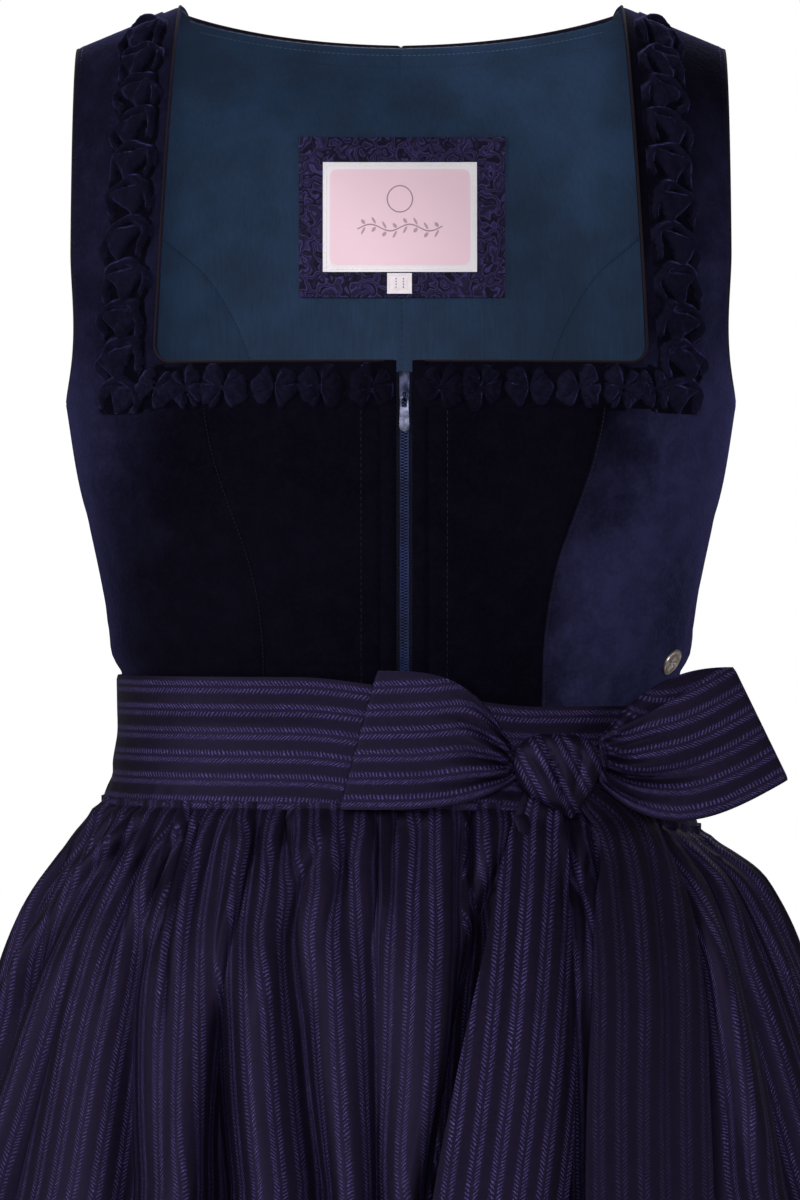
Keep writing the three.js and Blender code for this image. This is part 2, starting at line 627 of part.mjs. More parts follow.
// Band: one ring, lower on the right and halfway between the two behind
const bandDrop = phi => BAND_DROP * (phi < 0 ? smooth(-18, 25, phi) + smooth(-130, -180, phi) * 0.5
  : smooth(-18, 25, phi) - smooth(110, 180, phi) * 0.5)
const BAND_WALL = 2
const bandRows = [-304, -334, -352, -364]

function bandPoint(phi, z) {
  const at = tablePoint(BAND, phi, z)
  at.z -= bandDrop(phi)
  return at
}

const bandNormal = (phi, z) => crossNormal(bandPoint, phi, z, 0.5, 0.5)
piece('apron_band', wall(steps(-180, 172, 44), bandRows,
  (phi, z) => ({ at: bandPoint(phi, z), out: bandNormal(phi, z) }), BAND_WALL, true), satin)

// Folds of the skirt and apron. Every large fold is a soft valley that runs from its angle at the
// band to its angle near the hem; small gathers stand below the band and fade out.
const waistZ = phi => APRON[0].z - bandDrop(phi)
const FOLD_LOW_Z = -530
const backFolds = steps(0, BACK_FOLDS - 1, BACK_FOLDS - 1).map(k => ({
  top: APRON_EDGE_PHI + (k + 0.5) * (360 - 2 * APRON_EDGE_PHI) / BACK_FOLDS + 1.6 * Math.sin(2.1 * k),
  low: APRON_EDGE_PHI + (k + 0.5) * (360 - 2 * APRON_EDGE_PHI) / BACK_FOLDS + 2.2 * Math.sin(1.3 * k + 1),
  width: 3.2 + 0.5 * Math.sin(2.7 * k),
  depth: 13 + 3 * Math.sin(1.9 * k),
}))

function angleBetween(a, b) {
  const d = (a - b) % 360
  return d > 180 ? d - 360 : d < -180 ? d + 360 : d
}

function valley(fold, phi, z) {
  const run = clamp01((APRON[0].z - z) / (APRON[0].z - FOLD_LOW_Z))
  const centre = mix(fold.top, fold.low, run)
  const width = fold.width * mix(0.75, 1.25, smooth(APRON[0].z, HEM_Z, z))
  const depth = fold.depth * smooth(APRON[0].z + 4, -640, z) ** 0.75
  return depth * Math.exp(-((angleBetween(phi, centre) / width) ** 2))
}

const foldDepth = (folds, phi, z) => folds.reduce((sum, fold) => sum + valley(fold, phi, z), 0)

function gather(phi, z) {
  const fade = 1 - smooth(waistZ(phi) - 10, waistZ(phi) - 85, z)
  const turn = radians(360 / (2 * APRON_EDGE_PHI) * GATHERS_ACROSS_APRON * phi)
  return GATHER_DEPTH * fade * (0.5 - 0.5 * Math.cos(turn)) * (0.8 + 0.2 * Math.sin(radians(7 * phi)))
}

// Heights are measured from the band's lower edge, so cloth below its low side starts lower
function besideBand(z, phi) {
  return z - bandDrop(phi) * (1 - smooth(APRON[0].z, APRON[0].z - 40, z))
}

function apronPoint(phi, z, moved = 0) {
  const base = tablePoint(APRON, phi, z)
  const out = crossNormal((a, b) => tablePoint(APRON, a, b), phi, z, 0.5, 0.5).setZ(0).normalize()
  base.addScaledVector(out, moved - foldDepth(APRON_VALLEYS, phi, z) - gather(phi, besideBand(z, phi)))
  base.z = besideBand(z, phi)
  return { at: base, out }
}

const APRON_GAP = 0.8
const APRON_COLUMNS = 4 * GATHERS_ACROSS_APRON
const apronRows = [-364 - APRON_GAP, -376, -392, -420, -470, -560, -720, APRON_HEM_Z]
piece('apron', wall(steps(-APRON_EDGE_PHI, APRON_EDGE_PHI, APRON_COLUMNS), apronRows,
  (phi, z) => apronPoint(phi, z), SATIN_WALL), satin)

// Skirt: four panels meet at the side seams and the middle seams. Under the apron it lies plain,
// inside the deepest fold of the apron, and towards the back its own folds begin.
const SKIRT_TUCK = 12
function skirtPoint(phi, z) {
  const base = tablePoint(SKIRT, phi, z)
  const out = crossNormal((a, b) => tablePoint(SKIRT, a, b), phi, z, 0.5, 0.5).setZ(0).normalize()
  const around = angleBetween(phi, 0)
  const free = smooth(70, 96, Math.abs(around))
  const fold = free * foldDepth(APRON_VALLEYS, around, z) + foldDepth(backFolds, phi, z)
  const tuck = SKIRT_TUCK * (1 - free) * smooth(-378, -460, z)
  return { at: base.addScaledVector(out, -fold - tuck), out }
}

const skirtRows = [WAIST_SEAM_Z - SEAM_GAP, -364, -378, -390, -414, -460, -550, -720, HEM_Z]
const MIDDLE_SEAM_PHI = 0.03
const SIDE_SEAM_PHI = 90.1
for (const side of SIDES) {
  const front = steps(MIDDLE_SEAM_PHI, 90, 14).map(phi => side * phi)
  const back = steps(SIDE_SEAM_PHI, 180 - MIDDLE_SEAM_PHI, 29).map(phi => side * phi)
  piece(`skirt_front_${sideName(side)}`, wall(front, skirtRows, skirtPoint, SKIRT_WALL), skirtCloth)
  piece(`skirt_back_${sideName(side)}`, wall(back, skirtRows, skirtPoint, SKIRT_WALL), skirtCloth)
}

// A point on the front of a table's surface, x from the middle and moved out
function frontOf(surface, rows, x, z, moved) {
  const phi = phiOnTable(rows, x, z)
  const out = crossNormal(surface, phi, z, 0.5, 0.5)
  return surface(phi, z).addScaledVector(out, moved)
}

// The depth of the band's face at a place seen from the front
function bandFaceY(x, z) {
  const drop = bandDrop(phiOnTable(BAND, x, -334))
  return frontOf(bandPoint, BAND, x, z + drop, 0).y
}

// Bow loops: a wall carried round a flattened loop that is closed at the knot. Share runs from
// the knot (0) to the fold at the end (1); ply is -1 behind and +1 in front.
const LOOPS = {
  left: {
    knot: 52.2, foldTop: -11, foldLow: -28, high: -301, highDrop: 39, highPower: 3.5,
    low: -363.4, lowRise: 13, lowPower: 4, dip: 0, sag: 0,
    knotDepth: 5, endDepth: 11, behind: (share, x, z) => bandFaceY(x, z) - SEAM_GAP - 0.6 * (1 - share),
  },
  right: {
    knot: 89.6, foldTop: 152, foldLow: 177, high: -299.6, highDrop: 32, highPower: 2.5,
    low: -351, lowRise: 0, lowPower: 1, dip: 13, sag: 18,
    knotDepth: 6, endDepth: 17, behind: share => -86 + 26 * share,
  },
}
const LOOP_SHAPE = { along: 2.6, across: 0.8 }

function loopPoint(loop, turn, height) {
  const c = Math.cos(turn / 2)
  const share = 1 - Math.abs(c) ** LOOP_SHAPE.along
  const ply = -power(c, LOOP_SHAPE.across)
  const end = mix(loop.foldLow, loop.foldTop, height)
  const x = mix(loop.knot, end, share)
  const frontShare = Math.max(0, ply)
  const high = loop.high - loop.highDrop * (1 - share) ** loop.highPower -
    loop.dip * Math.sin(Math.PI * share) * frontShare
  const low = loop.low + loop.lowRise * (1 - share) ** loop.lowPower -
    loop.sag * Math.sin(Math.PI * share ** 0.8)
  const depth = mix(loop.knotDepth, loop.endDepth, Math.sin(Math.PI * share / 2))
  const z = mix(low, high, height)
  return point(x, loop.behind(share, x, z) - depth * (1 + ply) / 2, z)
}

const LOOP_TURNS = steps(0, 2 * Math.PI, 16)
for (const [name, loop] of Object.entries(LOOPS)) {
  const surface = (turn, height) => loopPoint(loop, turn, height)
  piece(`bow_loop_${name}`, wall(LOOP_TURNS, steps(0, 1, 5), (turn, height) => {
    const out = crossNormal(surface, clampTurn(turn), height, 0.01, 0.01).setZ(0).normalize()
    return { at: surface(turn, height), out: out.multiplyScalar(name === 'left' ? 1 : -1) }
  }, SATIN_WALL), satin)
}

function clampTurn(turn) {
  return Math.min(2 * Math.PI - 0.02, Math.max(0.02, turn))
}

// Knot: a rounded lump that narrows downwards
const KNOT = { x: 71, z: -347.5, halfWidth: 18.6, high: 17.5, low: 20, depth: 12.5, back: 5 }
function knotGeometry() {
  const ball = new THREE.SphereGeometry(1, 14, 9)
  const position = ball.attributes.position
  const behind = frontOf(bandPoint, BAND, KNOT.x, KNOT.z + BAND_DROP, KNOT.back).y
  for (let i = 0; i < position.count; i++) {
    const [x, y, z] = [position.getX(i), position.getZ(i), position.getY(i)]
    const narrow = z < 0 ? 1 - 0.45 * z * z : 1 - 0.1 * z * z
    position.setXYZ(i, KNOT.x + power(x, 0.85) * KNOT.halfWidth * narrow,
      behind - KNOT.depth * (1 + power(y, 0.85)), KNOT.z + (z < 0 ? KNOT.low : KNOT.high) * power(z, 0.9))
  }
  return welded(ball)
}
piece('bow_knot', knotGeometry(), satin)

// Tails: strips that leave the back of the knot and hang on the crests of the apron's folds
const TAILS = {
  left: {
    moved: 0.7, edges: [
      { z: -350, from: 58, to: 74 }, { z: -366, from: 51.5, to: 73 }, { z: -384, from: 46, to: 76 },
      { z: -424, from: 37, to: 78 }, { z: -473, from: 25.4, to: 79 }, { z: -529, from: 13.9, to: 75 },
      { z: -620, from: 1, to: 62 }, { z: -720, from: -10, to: 50 },
    ],
  },
  right: {
    moved: 2.7, edges: [
      { z: -350, from: 70, to: 84 }, { z: -366, from: 82, to: 111 }, { z: -378, from: 89.5, to: 118 },
      { z: -405, from: 86.5, to: 129 }, { z: -445, from: 84, to: 135 }, { z: -489, from: 81.3, to: 136 },
      { z: -529, from: 80, to: 137 }, { z: -620, from: 79, to: 138 }, { z: -720, from: 78, to: 137 },
    ],
  },
}
const TAIL_WALL = 1.6

function tailPoint(tail, across, z) {
  const x = mix(tableAt(tail.edges, z, 'from'), tableAt(tail.edges, z, 'to'), across)
  if (z > -366 - BAND_DROP) return frontOf(bandPoint, BAND, x, z + BAND_DROP, tail.moved)
  return frontOf((a, b) => tablePoint(APRON, a, b), APRON, x, z, tail.moved)
}

const tailRows = [-352, -362, -372, -384, -398, -415, -440, -480, -530, -600, -660, TAIL_END_Z]
for (const [name, tail] of Object.entries(TAILS)) {
  const surface = (across, z) => tailPoint(tail, across, z)
  piece(`tail_${name}`, wall(steps(0, 1, 4), tailRows, (across, z) => {
    const at = surface(across, z)
    return { at, out: crossNormal(surface, across, z, 0.02, 0.5) }
  }, -TAIL_WALL), satin)
}

export default dirndl
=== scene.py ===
"""A sleeveless dirndl: velvet bodice with a ruched square neckline and a front zip, gathered skirt,
and a striped satin apron whose band is tied in a bow.

Shapes are worked out in millimetres in the frame's own axes: +Z up, the front towards -Y, left and
right as seen from the front. They become metres where a mesh is made.
"""

import json
import math
from functools import partial

import bpy
import numpy as np
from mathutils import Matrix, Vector

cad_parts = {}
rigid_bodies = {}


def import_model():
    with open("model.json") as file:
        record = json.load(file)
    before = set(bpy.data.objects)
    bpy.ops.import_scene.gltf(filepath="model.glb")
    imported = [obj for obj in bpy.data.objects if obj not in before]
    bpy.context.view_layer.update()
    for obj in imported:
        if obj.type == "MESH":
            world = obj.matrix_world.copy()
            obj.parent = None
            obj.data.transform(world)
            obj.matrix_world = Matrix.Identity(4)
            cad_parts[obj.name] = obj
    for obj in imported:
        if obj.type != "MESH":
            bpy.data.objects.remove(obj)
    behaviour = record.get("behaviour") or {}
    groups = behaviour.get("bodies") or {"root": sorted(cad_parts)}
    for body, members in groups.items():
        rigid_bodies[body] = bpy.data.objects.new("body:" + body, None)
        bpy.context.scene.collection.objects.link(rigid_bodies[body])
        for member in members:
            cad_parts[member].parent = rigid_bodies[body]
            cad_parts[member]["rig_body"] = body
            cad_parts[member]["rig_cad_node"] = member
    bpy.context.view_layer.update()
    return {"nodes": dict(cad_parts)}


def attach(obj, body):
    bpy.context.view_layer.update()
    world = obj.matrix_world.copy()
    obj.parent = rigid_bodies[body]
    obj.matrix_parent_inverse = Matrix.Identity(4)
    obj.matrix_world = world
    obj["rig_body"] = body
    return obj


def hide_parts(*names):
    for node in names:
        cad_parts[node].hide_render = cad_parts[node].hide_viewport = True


bl_info = {
    "name": "Dirndl",
    "version": (1, 0, 0),
    "blender": (4, 5, 0),
    "location": "3D View > Sidebar > Dirndl",
    "description": "Builds a velvet dirndl with a ruched neckline and a striped satin apron",
    "category": "Add Mesh",
}

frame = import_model()
MM = 0.001
BODY = "garment"
PULL_BODY = "pull_tab"
SIDES = (("left", -1), ("right", 1))

# Driving heights and the closing
UNDERARM_Z = -178
WAIST_SEAM_Z = -345
TRUNK_HEIGHT = UNDERARM_Z - WAIST_SEAM_Z
NECK_Z = -161
HEM_Z = -985
APRON_HEM_Z = -960
TAIL_TOP_Z = -352
TAIL_END_Z = -720
CLOSING_X = 1.5
COIL_GAP = 3.6
PLACKET_WIDTH = 7

# Half of what two panels overlap at a seam, in mm, and the back panels at the middle, in degrees
HALF_GAP = -0.04
MIDDLE_LAP = 0.02

# Thickness of the walls, and how far the lining lies inside the velvet's outer face
VELVET_WALL = 2
LINING_WALL = 1
LINING_INSET = 2.3
SATIN_WALL = 1.8
SKIRT_WALL = 2

# Straps and armholes
STRAP_MIDDLE_X = 128
SHOULDER_SLOPE = 0.41
STRAP_INNER_X = 103.5
RIM_END_X = 101
NECK_CORNER_X = 112
NECK_CORNER_RADIUS = 8
ARMHOLE_PHI = 61.4
ARMHOLE_LEVEL = 0.25
CREST_LEVEL = 1.0004
YOKE_HALF = 157
YOKE_WIDE = 168
YOKE_FRONT = 97
YOKE_BACK = 95
YOKE_SQUARE = 2.6
YOKE_CLIMB = 0.909

# Sections of the body: height, half width, depth in front, depth behind, squareness
TORSO = (
    (-178, 157, 97, 95, 2.6), (-212, 151.6, 100, 92, 2.5), (-240, 145, 97, 88, 2.4),
    (-270, 139, 91, 84, 2.3), (-295, 135.6, 87, 82, 2.3), (-304, 130.8, 84.4, 80.2, 2.3),
    (-325, 129.2, 82.3, 78.6, 2.3), (-345, 130.2, 83, 79, 2.3),
)
BAND = (
    (-304, 133.6, 87.6, 83.4, 2.3), (-325, 133.4, 86.6, 83, 2.3), (-335, 134, 87, 83.6, 2.3),
    (-345, 135.6, 88.4, 85, 2.3), (-354, 137.4, 90, 86.6, 2.3), (-364, 140.4, 92.4, 89, 2.3),
)
APRON = (
    (-364, 140.4, 92.4, 89, 2.3), (-372, 144.5, 96, 92, 2.3), (-382, 152, 102, 99, 2.25),
    (-400, 165, 113, 111, 2.2), (-419, 176, 124, 123, 2.2), (-438, 186, 134, 134, 2.15),
    (-485, 206, 153, 155, 2.1), (-550, 231, 177, 181, 2.05), (-700, 276, 221, 227, 2),
    (-985, 318, 268, 278, 2),
)
SKIRT = (
    (-345, 130.2, 83, 79, 2.3), (-364, 131, 83.8, 79.8, 2.3), (-378, 134.4, 86.6, 82.6, 2.3),
    (-390, 142, 93, 90, 2.25), (-410, 159, 108, 106, 2.2), (-438, 176, 124, 124, 2.15),
    (-485, 196, 143, 145, 2.1), (-550, 221, 167, 171, 2.05), (-700, 266, 211, 217, 2),
    (-985, 308, 258, 268, 2),
)

# Princess seams: height and distance from the closing in front or from the middle behind
FRONT_PRINCESS = (
    (-161, 91), (-186, 89.4), (-209, 84.4), (-231, 76.8), (-250, 70.2), (-270, 65.6), (-292, 63.4),
    (-345, 62.6),
)
BACK_PRINCESS = (
    (-60, 154), (-75, 136), (-94, 116), (-110, 97), (-131, 83), (-150, 75), (-178, 66.5), (-200, 63),
    (-250, 57), (-345, 52),
)

# Large folds of the apron: angle at the band, angle near the hem, half width in degrees, depth at
# the hem and how far the valley's floor leans sideways under the ridge beside it
APRON_VALLEYS = (
    (-90, -88, 3.2, 13, 0), (-78, -77, 3, 12, -2), (-66, -64, 3.2, 14, -3), (-54, -53, 3, 13, 2),
    (-44, -33, 3.2, 12, -2), (-29, -20, 3.6, 19, -9), (-17, -9.5, 2.8, 13, 4), (-2.5, -2, 2.2, 10, -3),
    (8.6, 5, 2.6, 15, -4), (17, 13, 2.6, 11, 3), (26, 20, 2.8, 12, 4), (36, 27.5, 2.8, 12, 3),
    (49, 34, 3.2, 17, 6), (60, 53, 3, 13, 3), (72, 69, 3, 12, 2), (85, 84, 3.2, 13, 0),
)

# Apron, skirt and band: where they begin and end, how many gathers and folds they have, how deep the
# folds are, how far the skirt lies inside the apron, and the share of its own width a ridge keeps
APRON_EDGE_PHI = 98
APRON_TOP_Z = -360.5
APRON_GATHERS = 31
BACK_FOLDS = 12
BAND_DROP = 13.5
BAND_TOP_Z = -304
BAND_LOW_Z = -364
BAND_MIDDLE_Z = -334
BAND_TALL = BAND_TOP_Z - BAND_LOW_Z
FOLD_LOW_Z = -530
SKIRT_TUCK = 34
TAIL_ROOM = 6
FOLD_DEPTH = 2.0
HEM_FOLD_DEPTH = 1.15
HEM_TUCK = 14
CLOTH_WIDTH_Z = 700
RIDGE_SHARE = 0.85


def clamp(t):
    """A share held between nothing and one."""
    return np.clip(t, 0, 1)


def mix(a, b, t):
    """The straight blend from a to b at share t."""
    return a + (b - a) * t


def smooth(start, end, t):
    """A share that leaves start and reaches end level: three times its square less twice its cube."""
    s = clamp((t - start) / (end - start))
    return s * s * (3 - 2 * s)


def signed_power(t, exponent):
    """The power of a number's size, with the number's own sign."""
    return np.sign(t) * np.abs(t) ** exponent


def bump(distance, width):
    """A bell of height one: e to the minus square of distance over width."""
    return np.exp(-(distance / width) ** 2)


def unit(vectors):
    """Vectors of length one."""
    return vectors / np.maximum(np.linalg.norm(vectors, axis=-1, keepdims=True), 1e-9)


def read_table(rows, at):
    """All columns of a table at the given first-column values, by the cubic through its rows whose
    slope at a row is that of the line through the two rows beside it."""
    table = np.array(sorted(rows), float)
    keys, values = table[:, 0], table[:, 1:]
    at = np.clip(np.asarray(at, float), keys[0], keys[-1])
    k = np.clip(np.searchsorted(keys, at, side="right") - 1, 0, len(keys) - 2)
    before = np.maximum(k - 1, 0)
    after = np.minimum(k + 2, len(keys) - 1)
    span = (keys[k + 1] - keys[k])[..., None]
    slope_a = (values[k + 1] - values[before]) / (keys[k + 1] - keys[before])[..., None] * span
    slope_b = (values[after] - values[k]) / (keys[after] - keys[k])[..., None] * span
    t = (at - keys[k])[..., None] / span
    return ((2 * t**3 - 3 * t**2 + 1) * values[k] + (t**3 - 2 * t**2 + t) * slope_a
            + (3 * t**2 - 2 * t**3) * values[k + 1] + (t**3 - t**2) * slope_b)


def section_point(columns, phi, z):
    """A point of a superellipse section: x is the half width times the sine, and y the depth times
    the cosine of the angle, each raised to two over the squareness. The angle is 0 in front and 90
    at +X."""
    half, front, back, square = np.moveaxis(columns, -1, 0)
    across, depth = np.sin(np.radians(phi)), np.cos(np.radians(phi))
    x = half * signed_power(across, 2 / square)
    y = -np.where(depth >= 0, front, back) * signed_power(depth, 2 / square)
    return grid_of(x, y, z)


def table_point(rows, phi, z):
    """A point of the surface through a table's sections."""
    return section_point(read_table(rows, z), phi, z)


def phi_on_table(rows, x, z):
    """The angle at which a table's section is x away from the middle."""
    half, _, _, square = np.moveaxis(read_table(rows, z), -1, 0)
    share = np.minimum(1, np.abs(x) / half)
    return np.sign(x) * np.degrees(np.arcsin(share ** (square / 2)))


def normal_of(surface, a, b, step_a, step_b):
    """The unit cross product of a surface's central differences along its two parameters."""
    along_a = surface(a + step_a, b) - surface(a - step_a, b)
    along_b = surface(a, b + step_b) - surface(a, b - step_b)
    return unit(np.cross(along_a, along_b))


def crest(x):
    """Height of the sloping shoulder line."""
    return -SHOULDER_SLOPE * (np.abs(x) - STRAP_MIDDLE_X)


def yoke_half(level):
    """Half width of the arch over the shoulders."""
    return mix(YOKE_HALF, YOKE_WIDE, smooth(0, ARMHOLE_LEVEL, level))


def climb(level):
    """Share of the way up to the shoulder line: a power of the sine of a quarter turn's share."""
    return np.sin(np.radians(90 * np.maximum(level, 0))) ** YOKE_CLIMB


def bodice(phi, level):
    """The bodice's outer surface. Level -1 is the waist seam and 0 the underarm, and between them
    the torso's sections rule. Above, a point climbs to the shoulder line while its depth closes with
    the cosine of the level's quarter turn."""
    phi, level = np.broadcast_arrays(np.asarray(phi, float), np.asarray(level, float))
    trunk = table_point(TORSO, phi, UNDERARM_Z + np.minimum(level, 0) * TRUNK_HEIGHT)
    up = np.maximum(level, 0)
    fixed = [np.full(up.shape, value) for value in (YOKE_FRONT, YOKE_BACK, YOKE_SQUARE)]
    arch = section_point(np.stack([yoke_half(up), *fixed], axis=-1), phi, up)
    arch[..., 1] *= np.cos(np.radians(90 * up))
    arch[..., 2] = UNDERARM_Z + (crest(arch[..., 0]) - UNDERARM_Z) * climb(up)
    return np.where((level <= 0)[..., None], trunk, arch)


def bodice_normal(phi, level):
    """Outward direction of the bodice."""
    return normal_of(bodice, phi, level, 0.5, 0.004)


def level_of(x, z):
    """The level of a place on the bodice x from the middle, above or below the underarm."""
    share = clamp((z - UNDERARM_Z) / (crest(x) - UNDERARM_Z))
    above = np.degrees(np.arcsin(share ** (1 / YOKE_CLIMB))) / 90
    return np.where(z > UNDERARM_Z, above, (z - UNDERARM_Z) / TRUNK_HEIGHT)


def phi_across(x, level):
    """The angle in front of a place x from the middle at a level, never negative."""
    torso = read_table(TORSO, UNDERARM_Z + np.minimum(level, 0) * TRUNK_HEIGHT)
    half = np.where(level > 0, yoke_half(level), torso[..., 0])
    square = np.where(level > 0, YOKE_SQUARE, torso[..., 3])
    return np.degrees(np.arcsin(np.minimum(1, np.abs(x) / half) ** (square / 2)))


def seam_across(seam, level, shift):
    """Distance from the middle at which a seam crosses a level, found by thirty relaxed steps."""
    across = np.full(np.shape(level), 80.0)
    for _ in range(30):
        above = UNDERARM_Z + (crest(across) - UNDERARM_Z) * climb(level)
        z = np.where(level <= 0, UNDERARM_Z + level * TRUNK_HEIGHT, above)
        across = mix(across, read_table(seam, z)[..., 0] + shift, 0.6)
    return across


def armhole_phi(level):
    """The armhole's edge: a quarter oval from the side seam up to a straight strap edge."""
    w = clamp(level / ARMHOLE_LEVEL)
    return ARMHOLE_PHI + (90 - ARMHOLE_PHI) * (1 - np.sqrt(2 * w - w * w))


def shift_phi(phi, level, distance):
    """An angle moved sideways by a distance on the cloth."""
    per_degree = np.linalg.norm(bodice(phi + 0.5, level) - bodice(phi - 0.5, level), axis=-1)
    return phi + distance / per_degree


def strap_inner(level):
    """Distance from the middle of the front strap's inner edge."""
    low = climb(level_of(NECK_CORNER_X, NECK_Z + NECK_CORNER_RADIUS))
    return mix(NECK_CORNER_X, STRAP_INNER_X, clamp((climb(level) - low) / (1 - low)))


def rim_height(x):
    """Height of the back neck rim, which rises with the 2.2 power of the distance."""
    return -1.6 + 9 * (np.abs(x) / RIM_END_X) ** 2.2


def band_drop(phi, z=BAND_LOW_Z):
    """How much lower the band hangs at an angle than on its high side. Its upper edge drops towards
    the knot, its lower edge further round."""
    behind = np.where(phi < 0, smooth(-130, -180, phi), -smooth(110, 180, phi))
    upper, lower = smooth(-18, 25, phi), smooth(20, 80, phi)
    return BAND_DROP * (mix(lower, upper, clamp((z - BAND_LOW_Z) / BAND_TALL)) + 0.5 * behind)


def band_point(phi, z):
    """The band's outer face: its section, lowered by the drop."""
    at = table_point(BAND, phi, z)
    at[..., 2] -= band_drop(phi, z)
    return at


def front_of(surface, rows, x, z, moved):
    """A place on the front of a surface, x from the middle, moved out along its normal."""
    phi = phi_on_table(rows, x, z)
    return surface(phi, z) + moved[..., None] * normal_of(surface, phi, z, 0.5, 0.5)


def creases(table, a, b):
    """Creases on a surface's two parameters, in millimetres outwards. Each row has its
    middle, its direction in degrees, half length, half width and depth, and is the depth times a
    bell along times a bell across."""
    total = np.zeros(np.broadcast(a, b).shape)
    for middle_a, middle_b, turn, length, width, depth in table:
        c, s = math.cos(math.radians(turn)), math.sin(math.radians(turn))
        along = (a - middle_a) * c + (b - middle_b) * s
        across = (b - middle_b) * c - (a - middle_a) * s
        total = total + depth * bump(along, length) * bump(across, width)
    return total


# Meshes

class Part:
    """Vertices in millimetres, four-sided faces, a UV pair for each corner and a finish for each face."""

    def __init__(self, points, faces, uvs, finish):
        self.points = points
        self.faces = faces
        self.uvs = uvs
        self.finish = finish


def joined(parts):
    """Several parts as one."""
    starts = np.cumsum([0] + [len(part.points) for part in parts[:-1]])
    return Part(
        np.concatenate([part.points for part in parts]),
        np.concatenate([part.faces + start for part, start in zip(parts, starts)]),
        np.concatenate([part.uvs for part in parts]),
        np.concatenate([part.finish for part in parts]),
    )


def grid_faces(rows, columns, ring):
    """Corner numbers of a grid's faces, with the last column joined to the first on a ring, and the
    same numbers on the unwrapped grid, for UVs."""
    j, i = np.meshgrid(np.arange(rows - 1), np.arange(columns - 1), indexing="ij")
    corners = np.stack([j * columns + i, j * columns + i + 1,
                        (j + 1) * columns + i + 1, (j + 1) * columns + i], axis=-1).reshape(-1, 4)
    if not ring:
        return corners, corners
    return corners - (corners % columns == columns - 1) * (columns - 1), corners


def wall(outer, out, thickness, uv, ring=False, inner_finish=0):
    """A closed wall: a grid of outer points, the same grid moved in by the thickness, and the rim
    between them. On a ring the last column repeats the first."""
    rows, columns = outer.shape[:2]
    count = rows * columns
    inner = outer - out * (np.asarray(thickness)[..., None] if np.ndim(thickness) else thickness)
    points = np.concatenate([outer.reshape(-1, 3), inner.reshape(-1, 3)])
    faces, flat = grid_faces(rows, columns, ring)
    number = np.arange(count).reshape(rows, columns)
    wrapped = number.copy()
    if ring:
        wrapped[:, -1] = wrapped[:, 0]
    edges = [(wrapped[0], number[0], 1), (wrapped[-1], number[-1], -1)]
    if not ring:
        edges += [(number[:, 0], number[:, 0], -1), (number[:, -1], number[:, -1], 1)]
    rims, rim_flats = [], []
    for ids, flats, turn in edges:
        rims.append(np.stack([ids[1:], ids[:-1], ids[:-1] + count, ids[1:] + count], axis=-1)[:, ::turn])
        rim_flats.append(np.stack([flats[1:], flats[:-1], flats[:-1], flats[1:]], axis=-1)[:, ::turn])
    all_faces = np.concatenate([faces, faces[:, ::-1] + count, *rims])
    all_flats = np.concatenate([flat, flat[:, ::-1], *rim_flats])
    finish = np.zeros(len(all_faces), int)
    finish[len(faces):2 * len(faces)] = inner_finish
    return outwards(Part(points, all_faces, uv.reshape(-1, 2)[all_flats], finish))


def outwards(part):
    """The part with its faces turned so that the volume they close is positive."""
    a, b, c, d = (part.points[part.faces[:, k]] for k in range(4))
    volume = np.sum(a * np.cross(b, c)) + np.sum(a * np.cross(c, d))
    if volume < 0:
        part.faces = part.faces[:, ::-1]
        part.uvs = part.uvs[:, ::-1]
    return part


def copies(template, places, x_axes, y_axes, z_axes):
    """A small part set once at each place: its coordinates times that place's three axes."""
    count = len(places)
    x, y, z = (template.points[None, :, k:k + 1] for k in range(3))
    moved = x * x_axes[:, None] + y * y_axes[:, None] + z * z_axes[:, None] + places[:, None]
    size = len(template.points)
    faces = template.faces[None] + (np.arange(count) * size)[:, None, None]
    return Part(moved.reshape(-1, 3), faces.reshape(-1, 4), np.tile(template.uvs, (count, 1, 1)),
                np.tile(template.finish, count))


# Rings of a rounded rod, as shares of its half length, and how much it narrows at its ends
BEAD_RINGS = (-1, -0.75, 0.75, 1)
BEAD_TAPER = 0.93


def bead(length, width, height, sides=4):
    """A rounded rod along X: rings of an oval section whose size is the root of one less most of the
    fourth power of the distance from the middle, with small flat ends."""
    along = np.array(BEAD_RINGS)[:, None]
    size = np.sqrt(1 - BEAD_TAPER * along**4)
    turn = np.linspace(0, 2 * np.pi, sides + 1)[None, :]
    points = grid_of(along * length / 2, size * np.cos(turn) * width / 2, size * np.sin(turn) * height / 2)
    rows, columns = points.shape[:2]
    faces, _ = grid_faces(rows, columns, True)
    ends = np.array([[0, k, k + 1, k + 2] for k in range(1, sides - 2, 2)])
    faces = np.concatenate([faces, ends[:, ::-1], ends + (rows - 1) * columns])
    uvs = np.zeros((len(faces), 4, 2))
    return outwards(Part(points.reshape(-1, 3), faces, uvs, np.zeros(len(faces), int)))


def along_line(line, ups, pitch, start=0.5):
    """Evenly spaced places on a line of points, with the line's direction, the way across it and the
    way up there."""
    steps = np.linalg.norm(np.diff(line, axis=0), axis=1)
    run = np.concatenate([[0], np.cumsum(steps)])
    count = max(1, int(run[-1] / pitch))
    at = (np.arange(count) + start) * run[-1] / count

    def sampled(rows):
        """Rows of vectors at the evenly spaced places."""
        return np.stack([np.interp(at, run, column) for column in rows.T], axis=-1)

    places, tangents, up = sampled(line), unit(sampled(np.gradient(line, run, axis=0))), unit(sampled(ups))
    side = unit(np.cross(up, tangents))
    return places, tangents, side, unit(np.cross(tangents, side))


